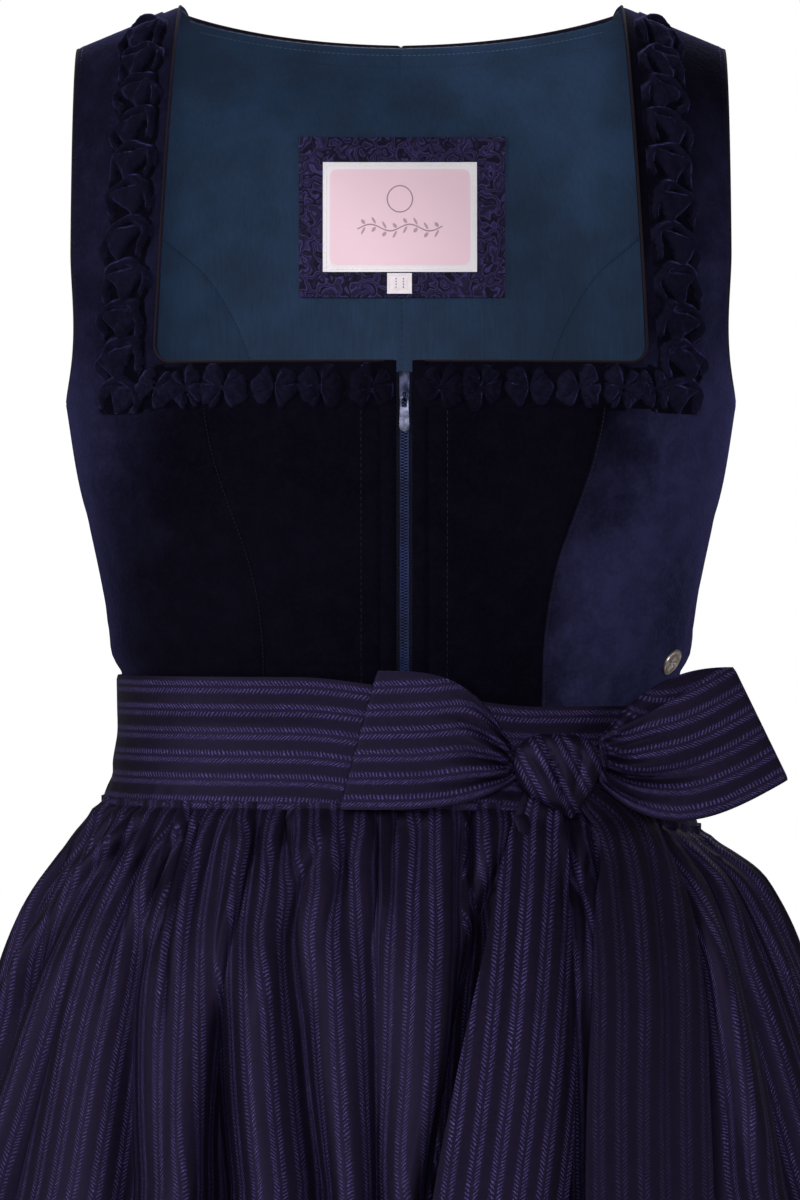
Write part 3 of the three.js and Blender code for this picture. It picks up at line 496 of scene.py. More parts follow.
def stitches(line, ups, pitch=2.6, share=0.66, width=0.42, sink=0.05):
    """A row of stitches along a line on the cloth, each a rounded rod that lies half in it."""
    places, tangents, side, up = along_line(line, ups, pitch)
    return copies(bead(pitch * share, width, width * 0.8), places - up * sink, tangents, side, up)


# How squarely a cord ends, the radius left at its tip in mm, and its wall as a share of the radius
TUBE_SQUARENESS = 400
TUBE_TIP = 0.02
TUBE_WALL = 0.6


def tube(line, ups, radius, sides=6):
    """A round cord carried along a line: at every point a circle across the line, which narrows to a
    tip at both ends by the root of one less a high power of the distance from the middle."""
    run = np.linspace(0, 1, len(line))
    tangents = unit(np.gradient(line, axis=0))
    side = unit(np.cross(ups, tangents))
    up = np.cross(tangents, side)
    turn = np.linspace(0, 2 * np.pi, sides + 1)
    size = radius * np.sqrt(clamp(1 - np.abs(2 * run - 1) ** TUBE_SQUARENESS)) + TUBE_TIP
    ring = np.cos(turn)[None, :, None] * side[:, None] + np.sin(turn)[None, :, None] * up[:, None]
    outer = line[:, None] + ring * size[:, None, None]
    steps = np.concatenate([[0], np.cumsum(np.linalg.norm(np.diff(line, axis=0), axis=1))])
    uv = grid_of(turn[None] * radius, steps[:, None])
    return wall(outer, ring, size[:, None] * TUBE_WALL, uv, ring=True)


def grid_of(*coordinates):
    """Points or UVs of coordinates that are given for rows, for columns or for both."""
    return np.stack(np.broadcast_arrays(*coordinates), axis=-1)


def lengths_along(grid, axis):
    """Running length in millimetres along one axis of a grid of points."""
    steps = np.linalg.norm(np.diff(grid, axis=axis), axis=-1)
    pad = [(1, 0), (0, 0)] if axis == 0 else [(0, 0), (1, 0)]
    return np.pad(np.cumsum(steps, axis=axis), pad)


def cloth_uv(grid):
    """Cloth coordinates in millimetres: running length along the rows and along the columns."""
    return grid_of(lengths_along(grid, 1), lengths_along(grid, 0))


def add_piece(name, part, finishes, replaces=(), body=BODY, sharp=50):
    """Makes an object of a part, in metres, lets it ride on its body and hides the nodes it stands for."""
    mesh = bpy.data.meshes.new(name)
    count = len(part.faces)
    mesh.vertices.add(len(part.points))
    mesh.vertices.foreach_set("co", (part.points * MM).astype(np.float32).ravel())
    mesh.loops.add(count * 4)
    mesh.loops.foreach_set("vertex_index", part.faces.astype(np.int32).ravel())
    mesh.polygons.add(count)
    mesh.polygons.foreach_set("loop_start", np.arange(0, count * 4, 4, dtype=np.int32))
    mesh.polygons.foreach_set("material_index", part.finish.astype(np.int32))
    mesh.uv_layers.new(name="cloth").data.foreach_set("uv", part.uvs.astype(np.float32).ravel())
    mesh.update(calc_edges=True)
    mesh.polygons.foreach_set("use_smooth", np.ones(count, bool))
    mesh.set_sharp_from_angle(angle=math.radians(sharp))
    for finish in finishes:
        mesh.materials.append(finish)
    made = bpy.data.objects.new(name, mesh)
    bpy.context.scene.collection.objects.link(made)
    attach(made, body)
    if replaces:
        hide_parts(*replaces)
    return made


# Finishes

def linear(red, green, blue):
    """A colour given in the usual eight-bit steps, as the linear values that a shader takes."""
    shares = [value / 255 for value in (red, green, blue)]
    return tuple(c / 12.92 if c <= 0.04045 else ((c + 0.055) / 1.055) ** 2.4 for c in shares)


def math_method(operation, swapped=False):
    """A method of Value that adds one Math node on the value and what it is given."""
    def method(self, *others):
        values = (*others, self) if swapped else (self, *others)
        return self.finish.node("ShaderNodeMath", {"operation": operation}, dict(enumerate(values)))
    return method


class Value:
    """A number, colour or vector in a finish. Arithmetic on a number adds Math nodes."""

    def __init__(self, finish, socket):
        self.finish = finish
        self.socket = socket

    __add__ = __radd__ = math_method("ADD")
    __sub__ = math_method("SUBTRACT")
    __rsub__ = math_method("SUBTRACT", swapped=True)
    __mul__ = __rmul__ = math_method("MULTIPLY")
    __truediv__ = math_method("DIVIDE")
    __pow__ = math_method("POWER")
    __lt__ = math_method("LESS_THAN")
    fraction = math_method("FRACT")
    size = math_method("ABSOLUTE")
    sine = math_method("SINE")
    highest = math_method("MAXIMUM")

    def from_half(self):
        """How far its fraction is from a half: zero to a half."""
        return (self.fraction() - 0.5).size()

    def ramp(self, start, end):
        """Zero below start and one above end, level at both."""
        settings = {"interpolation_type": "SMOOTHSTEP"}
        inputs = {"Value": self, "From Min": start, "From Max": end}
        return self.finish.node("ShaderNodeMapRange", settings, inputs)


class Finish:
    """A material and the nodes in it. Its colours are the scene's, given by name."""

    def __init__(self, name):
        self.material = bpy.data.materials.new(name)
        self.material.use_nodes = True
        self.tree = self.material.node_tree
        self.tree.nodes.clear()

    def node(self, kind, settings=None, inputs=None, output=0):
        """Adds a node. Its settings come first, then the values or links of its sockets, and one of
        its outputs comes back."""
        made = self.tree.nodes.new(kind)
        for key, value in (settings or {}).items():
            setattr(made, key, value)
        for key, value in (inputs or {}).items():
            if isinstance(value, Value):
                self.tree.links.new(value.socket, made.inputs[key])
            else:
                made.inputs[key].default_value = value
        return Value(self, made.outputs[output] if len(made.outputs) else None)

    def place(self):
        """Object coordinates, in metres."""
        return self.node("ShaderNodeTexCoord", output=3)

    def cloth(self):
        """The piece's own cloth coordinates, in millimetres."""
        return self.node("ShaderNodeUVMap", {"uv_map": "cloth"})

    def axes(self, vector, *axes):
        """Coordinates of a vector by their numbers, 0 to 2."""
        return [self.node("ShaderNodeSeparateXYZ", None, {0: vector}, output=axis) for axis in axes]

    def noise(self, scale, detail, vector=None, output=0):
        """Noise between zero and one, with its number of waves to a metre, or to a millimetre on
        cloth coordinates."""
        inputs = {"Vector": vector or self.place(), "Scale": scale, "Detail": detail}
        return self.node("ShaderNodeTexNoise", None, inputs, output)

    def tint(self, value):
        """What a colour socket takes for a link, a colour's name or three numbers."""
        if isinstance(value, Value):
            return value
        return (*(colour_named(value) if isinstance(value, str) else value), 1)

    def colour(self, share, first, second):
        """The blend of two colours."""
        inputs = {0: share, 6: self.tint(first), 7: self.tint(second)}
        return self.node("ShaderNodeMix", {"data_type": "RGBA"}, inputs, output=2)

    def height(self, value, distance, strength):
        """A normal bent by a height, whose full step is distance in metres."""
        inputs = {"Height": value, "Distance": distance, "Strength": strength}
        return self.node("ShaderNodeBump", None, inputs)

    def finished(self, base, normal=None, **constants):
        """Ends the finish in one shader. Its sockets' names are given with _ for a space."""
        inputs = {key.replace("_", " "): value for key, value in constants.items()}
        inputs["Base Color"] = base
        if normal is not None:
            inputs["Normal"] = normal
        for key in ("Base Color", "Sheen Tint", "Specular Tint"):
            if key in inputs:
                inputs[key] = self.tint(inputs[key])
        shader = self.node("ShaderNodeBsdfPrincipled", None, inputs)
        self.node("ShaderNodeOutputMaterial", None, {"Surface": shader})
        return self.material


def colour_named(name):
    """One of the colours that a user can change."""
    return tuple(getattr(bpy.context.scene.dirndl_colours, name))


def weave(across, along, pitch):
    """Height of a plain weave between zero and one: threads that pass over and under each other, as
    the product of two sines of the cloth coordinates."""
    turn = 2 * math.pi / pitch
    return (across * turn).sine() * (along * turn).sine() * 0.5 + 0.5


def velvet_finish(name, painted_sheen_strength=0, start=0, end=0, slope=0, crushed=0):
    """Cut pile: near black seen straight on and bluer at a slant by its sheen, crushed in soft patches and
    speckled by the pile's own tufts. The setting after the name is how strongly a paler colour is
    painted on as painted sheen where light grazes the pile, weaker on the straps, from start to end
    metres beside the middle at the waist; slope moves that zone with the height."""
    finish = Finish(name)
    patches = finish.noise(19, 5).ramp(0.3, 0.7)
    streaks = finish.noise(120 + 160 * crushed, 4).ramp(0.38, 0.75)
    speckle = finish.noise(560, 3).ramp(0.35, 0.75)
    pile = finish.noise(2600, 2)
    share = patches * 0.45 + streaks * (0.3 + 0.4 * crushed) + speckle * 0.35 + pile * 0.2 + 0.4 * crushed
    base = finish.colour(share, "velvet", "velvet_light")
    # Painted sheen: a paler colour on the sides where light grazes the pile, weaker on the straps above the
    # fade height
    if painted_sheen_strength:
        x, z = finish.axes(finish.place(), 0, 2)
        zone = (x.size() - (z - PAINTED_SHEEN_MIDDLE) * slope + (patches - 0.5) * 0.016).ramp(start, end)
        raised = 1 - z.ramp(*PAINTED_SHEEN_FADE) * 0.42
        leaning = zone * raised * (patches * 0.4 + streaks * 0.3 + speckle * 0.25 + 0.38) * painted_sheen_strength
        base = finish.colour(leaning, base, "velvet_side")
    normal = finish.height(pile + streaks * 0.6 + speckle * 0.5, 0.00035, 0.6)
    return finish.finished(base, normal, Roughness=0.95, Specular_IOR_Level=0.03,
                           Sheen_Weight=0.22 + 0.12 * crushed, Sheen_Roughness=0.32,
                           Sheen_Tint="velvet_sheen")


def satin_stripes(finish, across, along):
    """The apron cloth's stripes. Each is two rows of slanted dashes that meet in a feather: the
    distance from the stripe's middle, as a share of its half width, leans the dashes, noise makes
    them uneven, and a fine clear line parts the two rows. Gives the dashes and the soft stripe
    under them."""
    sizes = bpy.context.scene.dirndl_sizes
    uneven = finish.noise(0.9, 2, finish.cloth())
    wander = finish.noise(0.06, 1, finish.cloth())
    aside = (across / sizes.stripe_pitch).from_half() * (sizes.stripe_pitch * 2 / sizes.stripe_width)
    inside = 1 - (aside + uneven * 0.5).ramp(0.7, 1.7)
    rows = (1 - (aside + uneven * 0.8).ramp(1.1, 1.45)) * (aside + uneven * 0.3).ramp(0.3, 0.5)
    lean = along / sizes.dash_pitch + aside * 1.5 + uneven + wander * 3
    dash = 1 - (lean.from_half() * 2).ramp(0.08, 0.52)
    return rows * dash * (uneven * 2 - 0.1) * (wander * 1.6 + 0.25), inside


def satin_finish(name, clear):
    """Aubergine satin with raised violet feather stripes, whose threads shine more than the ground.
    Clear is how strongly they show; a lower value makes the satin darker with fainter stripes, as painted
    shade."""
    finish = Finish(name)
    across, along = finish.axes(finish.cloth(), 0, 1)
    threads, inside = satin_stripes(finish, across, along)
    slub = finish.noise(260, 3).ramp(0.3, 0.75)
    base = finish.colour(slub * 0.5, "satin", "satin_light")
    base = finish.colour(inside * (0.15 + 0.3 * clear), base, "stripe_ground")
    base = finish.colour(threads * clear, base, "stripe")
    normal = finish.height(threads * 0.8 + weave(across, along, 0.55) * 0.25, 0.0003, 0.5)
    return finish.finished(base, normal, Metallic=threads * (0.25 * clear), Roughness=0.52 - threads * 0.16,
                           Specular_IOR_Level=0.15, Specular_Tint="satin_sheen")


def plain_finish(name, ground, light, pitch, roughness, sheen, mottle, gloss, grain):
    """A plain woven cloth with a little unevenness in its colour, and a grain of long upright slubs."""
    finish = Finish(name)
    across, along = finish.axes(finish.cloth(), 0, 1)
    slub = finish.noise(40, 5).ramp(0.3, 0.72) * mottle + finish.noise(900, 2) * 0.25
    if grain:
        drawn = finish.node("ShaderNodeVectorMath", {"operation": "MULTIPLY"},
                            {0: finish.place(), 1: (1, 1, 0.08)})
        slub = slub + (finish.noise(900, 3, drawn) - 0.5) * grain
    base = finish.colour(slub, ground, light)
    normal = finish.height(weave(across, along, pitch), 0.0002, 0.4)
    return finish.finished(base, normal, Roughness=roughness, Specular_IOR_Level=gloss,
                           Sheen_Weight=sheen, Sheen_Roughness=0.5)


def patch_finish(name):
    """Brocade with scrolls: rings round scattered cells, bent by noise, with finer veins in them."""
    finish = Finish(name)
    across, along = finish.axes(finish.cloth(), 0, 1)
    bend = finish.noise(0.13, 1, finish.cloth(), output=1)
    moved = finish.node("ShaderNodeVectorMath", {"operation": "MULTIPLY_ADD"},
                        {0: bend, 1: (14, 14, 0), 2: finish.cloth()})
    cells = finish.node("ShaderNodeTexVoronoi", None, {"Vector": moved, "Scale": 0.15, "Randomness": 0.8})
    veins = ((cells * 5.6).from_half() * 2).ramp(0.3, 0.7)
    scroll = (cells * 2.3).from_half() * 2
    leaf = 1 - scroll.ramp(0.4, 0.62)
    edge = scroll.ramp(0.3, 0.42) * (1 - scroll.ramp(0.5, 0.64))
    base = finish.colour(leaf * (veins * 0.3 + 0.35) + veins * 0.35, "patch", "patch_light")
    base = finish.colour(edge * 0.6, base, "patch_edge")
    normal = finish.height(leaf + weave(across, along, 0.5) * 0.3, 0.0003, 0.5)
    return finish.finished(base, normal, Roughness=0.7, Specular_IOR_Level=0.08)


def label_finish(name):
    """White woven label with a rounded pink field and a plain ornament in its middle: a ring above a
    waved stem with small leaves on both sides."""
    finish = Finish(name)
    across, along = finish.axes(finish.cloth(), 0, 1)
    x, y = across - LABEL_HALF[0], along - LABEL_HALF[1]
    outside = (((x.size() / FIELD_HALF[0]) ** 22) + ((y.size() / FIELD_HALF[1]) ** 16)).ramp(0.8, 1.2)
    from_ring = ((x ** 2 + (y - 9) ** 2) ** 0.5 - 6.4).size()
    from_stem = (y + 5 - (x * 0.32).sine() * 1.6).size()
    ring = 1 - from_ring.ramp(0.2, 0.42)
    stem = (1 - from_stem.ramp(0.22, 0.44)) * (x.size() < 21)
    leaf_x = ((x / LEAF_PITCH).fraction() - 0.5) * LEAF_PITCH
    leaf_y = from_stem - 2.2
    leaf = (leaf_x + leaf_y * 0.5) ** 2 / 0.7 + (leaf_y ** 2) / 2.2
    leaves = (1 - leaf.ramp(0.6, 1.2)) * (x.size() < 20.8)
    ink = ring.highest(stem).highest(leaves * 0.8)
    base = finish.colour(outside, "label_pink", "label_white")
    base = finish.colour(ink * 0.8, base, "label_grey")
    normal = finish.height(weave(across, along, 0.5) * 0.6 + ink * 0.5, 0.0002, 0.5)
    return finish.finished(base, normal, Roughness=0.6, Specular_IOR_Level=0.3)


def tape_finish(name):
    """Zip tape: a ribbed weave."""
    finish = Finish(name)
    across, along = finish.axes(finish.cloth(), 0, 1)
    ribs = (along * 5.2).sine() * 0.5 + 0.5
    base = finish.colour(ribs * 0.6, "tape", "tape_light")
    normal = finish.height(ribs + weave(across, along, 0.5) * 0.4, 0.0003, 0.6)
    return finish.finished(base, normal, Roughness=0.7, Specular_IOR_Level=0.1)


def metal_finish(name, bright, dark, roughness):
    """Plated metal, darker and rougher in soft worn patches."""
    finish = Finish(name)
    wear = finish.noise(260, 2).ramp(0.3, 0.8)
    base = finish.colour(wear, bright, dark)
    normal = finish.height(finish.noise(2400, 2), 0.00002, 0.3)
    return finish.finished(base, normal, Metallic=1.0, Roughness=wear * 0.18 + roughness)


def thread_finish(name, colour):
    """Sewing thread with its twist."""
    finish = Finish(name)
    twist = finish.noise(5200, 1)
    paler = tuple(min(1, c * 2.2 + 0.004) for c in colour_named(colour))
    base = finish.colour(twist * 0.5, colour, paler)
    normal = finish.height(twist, 0.0001, 0.5)
    return finish.finished(base, normal, Roughness=0.6, Specular_IOR_Level=0.15)


# Height at which the zone of painted sheen has its stated place, and where that painted sheen weakens on the
# straps, in metres
PAINTED_SHEEN_MIDDLE = -0.29
PAINTED_SHEEN_FADE = (-0.19, -0.12)

# Label: half its width and height, the same of its pink field, and the leaves' pitch on the stem
LABEL_HALF = (38, 26.7)
FIELD_HALF = (34.8, 23.4)
LEAF_PITCH = 5.2

# Plain cloths: ground, lighter colour, weave's pitch in mm, roughness, sheen, mottling, gloss, grain
PLAIN_CLOTHS = {
    "lining_cloth": ("lining", "lining_light", 0.5, 0.62, 0.03, 0.5, 0.15, 0.8),
    "skirt_cloth": ("skirt", "skirt_light", 0.7, 0.8, 0.05, 0.5, 0.15, 0),
    "tab_weave": ("label_white", "label_pink", 0.4, 0.6, 0.1, 0.15, 0.25, 0),
    "zip_coil": ("tape_light", "coil", 0.5, 0.5, 0, 1.2, 0.15, 0),
    "neck_binding": ("binding", "binding_light", 0.5, 0.8, 0.02, 0.5, 0.12, 0),
}
# The other finishes: what makes each, and its settings
FINISHES = {
    "velvet": (velvet_finish,),
    # Velvets with painted sheen on the sides where light grazes the pile: stronger on the right than on the
    # left, some on the back, and a little on the crushed velvet of the ruche
    "velvet_left": (velvet_finish, 0.46, 0.118, 0.165, -0.3),
    "velvet_right": (velvet_finish, 1, 0.04, 0.095, 0.36),
    "velvet_back": (velvet_finish, 0.6, 0, 0.12),
    "crushed_velvet": (velvet_finish, 0.24, 0, 0.1, 0, 1),
    "apron_satin": (satin_finish, 1),
    # Copies with fainter stripes and a darker tone, as painted shade: on the folded apron, and darker still
    # on the right tail
    "apron_satin_gathered": (satin_finish, 0.75),
    "apron_satin_reverse": (satin_finish, 0.28),
    "patch_brocade": (patch_finish,),
    "label_weave": (label_finish,),
    "zip_tape_weave": (tape_finish,),
    "zip_nickel": (metal_finish, "nickel", "nickel_dark", 0.36),
    "zip_slider_nickel": (metal_finish, "nickel_dark", "tape", 0.36),
    "badge_silver": (metal_finish, "badge", "badge_dark", 0.34),
    "velvet_thread": (thread_finish, "thread"),
    "lining_thread": (thread_finish, "lining_thread"),
    "facing_thread": (thread_finish, "facing_thread"),
    "white_thread": (thread_finish, "label_white"),
    "satin_thread": (thread_finish, "satin_thread"),
    **{name: (plain_finish, *row) for name, row in PLAIN_CLOTHS.items()},
}
MADE = {}


def finish_of(name):
    """The material of that name, made once."""
    if name not in MADE:
        maker, *settings = FINISHES[name]
        MADE[name] = maker(name, *settings)
    return MADE[name]


# Bodice panels

def spread(count):
    """Shares from one edge to the other, close together near both edges."""
    edge = np.array([0, 0.004, 0.012, 0.028])
    return np.concatenate([edge, np.linspace(0.05, 0.95, count), 1 - edge[::-1]])


# Creases of the bodice: distance from the middle, height, direction, half length, half width, depth
FRONT_CREASES = (
    (-118, -196, 52, 26, 5, -1.1), (-128, -214, 40, 22, 4, -0.9), (-100, -262, 12, 26, 4, -0.9),
    (-112, -281, 8, 24, 3.4, -1.2), (-90, -292, -6, 22, 3, -0.9), (-40, -285, 10, 20, 4, -0.7),
    (-30, -296, -4, 26, 3, -0.9), (36, -283, -8, 20, 4, -0.7), (44, -297, 6, 24, 3, -0.9),
    (116, -194, -50, 26, 5, -1.1), (128, -216, -38, 22, 4, -0.9), (104, -258, -10, 26, 4, -1.0),
    (112, -276, -14, 24, 3.4, -1.2), (96, -291, 4, 24, 3, -0.9), (-122, -150, 66, 30, 4, -0.7),
    (131, -148, -70, 30, 4, -0.7), (-22, -240, 84, 26, 5, -0.5), (26, -238, 95, 26, 5, -0.5),
)
BACK_CREASES = (
    (-60, -258, 6, 30, 4, -1.1), (-30, -276, -5, 34, 3.6, -1.3), (24, -266, 7, 32, 4, -1.1),
    (66, -280, -8, 28, 3.4, -1.2), (0, -292, 2, 40, 3, -1.1), (-100, -240, 30, 26, 5, -1.0),
    (104, -236, -30, 26, 5, -1.0), (-96, -120, 48, 30, 5, -0.8), (98, -122, -46, 30, 5, -0.8),
    (-40, -60, 8, 30, 6, -0.5), (46, -72, -8, 30, 6, -0.5),
)


def bodice_relief(points, back):
    """Creases of the velvet, by place seen from the front or from behind."""
    return creases(BACK_CREASES if back else FRONT_CREASES, points[..., 0], points[..., 2])


def bodice_grid(side, level, start, end, shares, inset=0.0, seams=(0.5, 0.5), ridge=0.0):
    """A panel ruled between two edge angles at every level: the bodice's point, moved out by the
    creases, in at the two seams with a narrow bell, and out by a rounded ridge across its width."""
    u = shares[None, :]
    level = level[:, None] * np.ones_like(u) if level.ndim == 1 else level
    phi = side * mix(start[:, None], end[:, None], u)
    base = bodice(phi, level)
    out = bodice_normal(phi, level)
    back = np.cos(np.radians(np.mean(phi))) < 0
    across = lengths_along(base, 1)
    width = across[:, -1:]
    offset = bodice_relief(base, back) - inset + ridge * np.sin(np.pi * u) ** 0.6
    offset = offset - seams[0] * bump(across, 1.3) - seams[1] * bump(width - across, 1.3)
    return base + out * offset[..., None], out


TRUNK_ROWS = 44
TRUNK = np.linspace(-1, 0, TRUNK_ROWS)


def front_between(side, from_across, to_across, shares):
    """Levels and edge angles of a front panel that ends at the level neckline."""
    shift = side * CLOSING_X

    def edges(level):
        start = phi_across(from_across + shift, level)
        end = phi_across(to_across(level), level)
        return shift_phi(start, level, HALF_GAP), shift_phi(end, level, -HALF_GAP)

    seam_top = float(level_of(seam_across(FRONT_PRINCESS, np.zeros(1), shift), NECK_Z)[0])
    rise = np.linspace(0, 1, 9)[1:] * seam_top
    rows = np.concatenate([TRUNK, rise])
    start, end = edges(rows)
    across = mix(from_across + shift, to_across(rise)[:, None], shares[None, :])
    top = level_of(across, NECK_Z) * (rise / seam_top)[:, None]
    level = np.concatenate([np.repeat(TRUNK[:, None], len(shares), axis=1), top])
    return level, start, end


def front_side_edges(side):
    """Levels and edge angles of a front side panel, which runs on into the front strap."""
    shift = side * CLOSING_X
    neck_level = float(level_of(seam_across(FRONT_PRINCESS, np.zeros(1), shift), NECK_Z)[0])
    seam_levels = np.concatenate([TRUNK, np.linspace(0, neck_level, 8)[1:]])
    seam = seam_across(FRONT_PRINCESS, seam_levels, shift)
    turn = np.radians(np.linspace(-90, 0, 9))
    corner = NECK_CORNER_X - NECK_CORNER_RADIUS * (1 - np.cos(turn))
    corner_levels = level_of(corner, NECK_Z + NECK_CORNER_RADIUS * (1 + np.sin(turn)))
    strap_levels = np.concatenate([np.linspace(0.12, 0.9, 36), np.linspace(0.915, CREST_LEVEL, 8)])
    level = np.concatenate([seam_levels, corner_levels, strap_levels])
    across = np.concatenate([seam, corner, strap_inner(strap_levels)])
    gap = np.concatenate([np.full(len(seam), HALF_GAP), np.zeros(len(corner) + len(strap_levels))])
    start = shift_phi(phi_across(across, level), level, gap)
    return level, start, shift_phi(armhole_phi(level), level, -HALF_GAP)


BACK_SEAM = np.linspace(0, 0.455, 24)[1:]


def back_centre_edges():
    """Levels and edge angles of a back centre panel: first between the middle and the princess seam,
    then across to the armhole, then with its lower edge climbing along the neck rim."""
    seam_levels = np.concatenate([TRUNK, BACK_SEAM])
    seam_end = phi_across(seam_across(BACK_PRINCESS, seam_levels, 0), seam_levels)
    below = np.linspace(0.47, 0.86, 16)
    rim_x = np.concatenate([[0], np.linspace(6, RIM_END_X, 22)])
    rim_levels = level_of(rim_x, rim_height(rim_x))
    below = below[below < rim_levels[0] - 0.005]
    strap = np.linspace(rim_levels[-1], CREST_LEVEL, 7)[1:]
    strap_x = mix(RIM_END_X, STRAP_INNER_X, (strap - 0.87) / 0.13)
    level = np.concatenate([seam_levels, below, rim_levels, strap])
    across = np.concatenate([np.zeros(len(seam_levels) + len(below)), rim_x, strap_x])
    shoulder = shift_phi(armhole_phi(level), level, -HALF_GAP)
    end = np.concatenate([shift_phi(seam_end, seam_levels, -HALF_GAP), shoulder[len(seam_levels):]])
    return level, 180 + MIDDLE_LAP - phi_across(across, level), 180 - end


def back_side_edges():
    """Levels and edge angles of a back side panel, between the princess seam and the side seam."""
    level = np.concatenate([TRUNK, BACK_SEAM])
    start = shift_phi(phi_across(seam_across(BACK_PRINCESS, level, 0), level), level, HALF_GAP)
    return level, 180 - start, 180 - shift_phi(armhole_phi(level), level, -HALF_GAP)


def bodice_line(side, across_at, levels, offset=0.0, back=False):
    """A line on the bodice, at a distance from the middle for every level, with the outward
    direction along it."""
    phi = side * phi_across(across_at, levels)
    phi = 180 - phi if back else phi
    points, out = bodice(phi, levels), bodice_normal(phi, levels)
    offset = offset + bodice_relief(points, back)
    return points + out * offset[..., None], out


def neck_line(side):
    """The neckline on one side: along the level front, round the corner, up the strap, over the
    shoulder and along the back rim to the middle."""
    shift = side * CLOSING_X
    flat_x = np.linspace(COIL_GAP + shift, NECK_CORNER_X - NECK_CORNER_RADIUS, 60)
    turn = np.radians(np.linspace(-90, 0, 12))[1:]
    corner_x = NECK_CORNER_X - NECK_CORNER_RADIUS * (1 - np.cos(turn))
    corner_z = NECK_Z + NECK_CORNER_RADIUS * (1 + np.sin(turn))
    strap_level = np.linspace(level_of(corner_x[-1], corner_z[-1]), 0.999, 60)[1:]
    level = np.concatenate([level_of(flat_x, NECK_Z), level_of(corner_x, corner_z), strap_level])
    across = np.concatenate([flat_x, corner_x, strap_inner(strap_level)])
    front, front_out = bodice_line(side, across, level)
    rim_x = np.linspace(RIM_END_X, 0, 60)
    rim_level = level_of(rim_x, rim_height(rim_x))
    over = np.linspace(0.999, rim_level[0], 8)[1:-1]
    over_x = mix(STRAP_INNER_X, RIM_END_X, (0.999 - over) / (0.999 - rim_level[0]))
    back_x, back_level = np.concatenate([over_x, rim_x]), np.concatenate([over, rim_level])
    back, back_out = bodice_line(side, back_x, back_level, back=True)
    return np.concatenate([front, back]), np.concatenate([front_out, back_out])


def build_bodice():
    """Plackets, front and back panels in velvet with the lining's cloth on their inner face, and the
    sewing on them."""
    lining = finish_of("lining_cloth")
    ridge_x = COIL_GAP + PLACKET_WIDTH
    sewing, edging = [], []
    for name, side in SIDES:
        shift = side * CLOSING_X
        narrow, wide = spread(10), spread(44)
        seam = partial(seam_across, FRONT_PRINCESS, shift=shift)
        placket = front_between(side, COIL_GAP, partial(np.full_like, fill_value=ridge_x + shift), narrow)
        centre = front_between(side, ridge_x, seam, wide)
        panels = (
            ("placket", placket, narrow, (0.2, 0.6), 0.9, "velvet"),
            ("front_centre", centre, wide, (0.7, 0.6), 0, "velvet"),
            # The side and back panels take velvets with painted sheen on their sides
            ("front_side", front_side_edges(side), wide, (0.6, 0.5), 0, f"velvet_{name}"),
            ("back_centre", back_centre_edges(), wide, (0.5, 0.6), 0, "velvet_back"),
            ("back_side", back_side_edges(), spread(26), (0.6, 0.5), 0, f"velvet_{name}"),
        )
        for kind, (level, start, end), shares, seams, ridge, velvet_with_painted_sheen in panels:
            grid, out = bodice_grid(side, level, start, end, shares, seams=seams, ridge=ridge)
            node = f"{kind}_{name}"
            part = wall(grid, out, VELVET_WALL, cloth_uv(grid), inner_finish=1)
            made = add_piece(f"{node}_velvet", part, [finish_of(velvet_with_painted_sheen), lining], [node])
        trunk = np.linspace(-0.99, -0.03, 150)
        sewing.append(stitches(*bodice_line(side, 19.5 + shift, trunk, 0.1), pitch=3))
        up = np.linspace(-0.99, 0.04, 160)
        sewing.append(stitches(*bodice_line(side, seam(up) + 0.9, up, 0.1), pitch=1.9))
        rise = np.linspace(-0.99, 0.44, 200)
        back_seam = seam_across(BACK_PRINCESS, rise, 0) + 0.9
        sewing.append(stitches(*bodice_line(side, back_seam, rise, 0.1, back=True), pitch=1.9))
        edging.append(tube(*neck_line(side), 0.6))
        for turned in (0, 1):
            sewing.append(stitches(*armhole_line(side, turned, 3), pitch=2.8))
            edging.append(tube(*armhole_line(side, turned, 0.2, -1.0), 1.05))
    add_piece("bodice_sewing", joined(sewing), [finish_of("velvet_thread")])
    add_piece("neck_and_armhole_edge", joined(edging), [finish_of("neck_binding")])


def armhole_line(side, turned, inside, offset=0.1):
    """A line inside the armhole's edge, from the underarm up to the shoulder, in front or behind."""
    level = np.concatenate([np.linspace(0, 0.24, 50), np.linspace(0.25, 0.995, 70)])
    phi = shift_phi(armhole_phi(level), level, -inside)
    phi = side * (180 - phi if turned else phi)
    points, out = bodice(phi, level), bodice_normal(phi, level)
    return points + out * offset, out


# Lining and labels

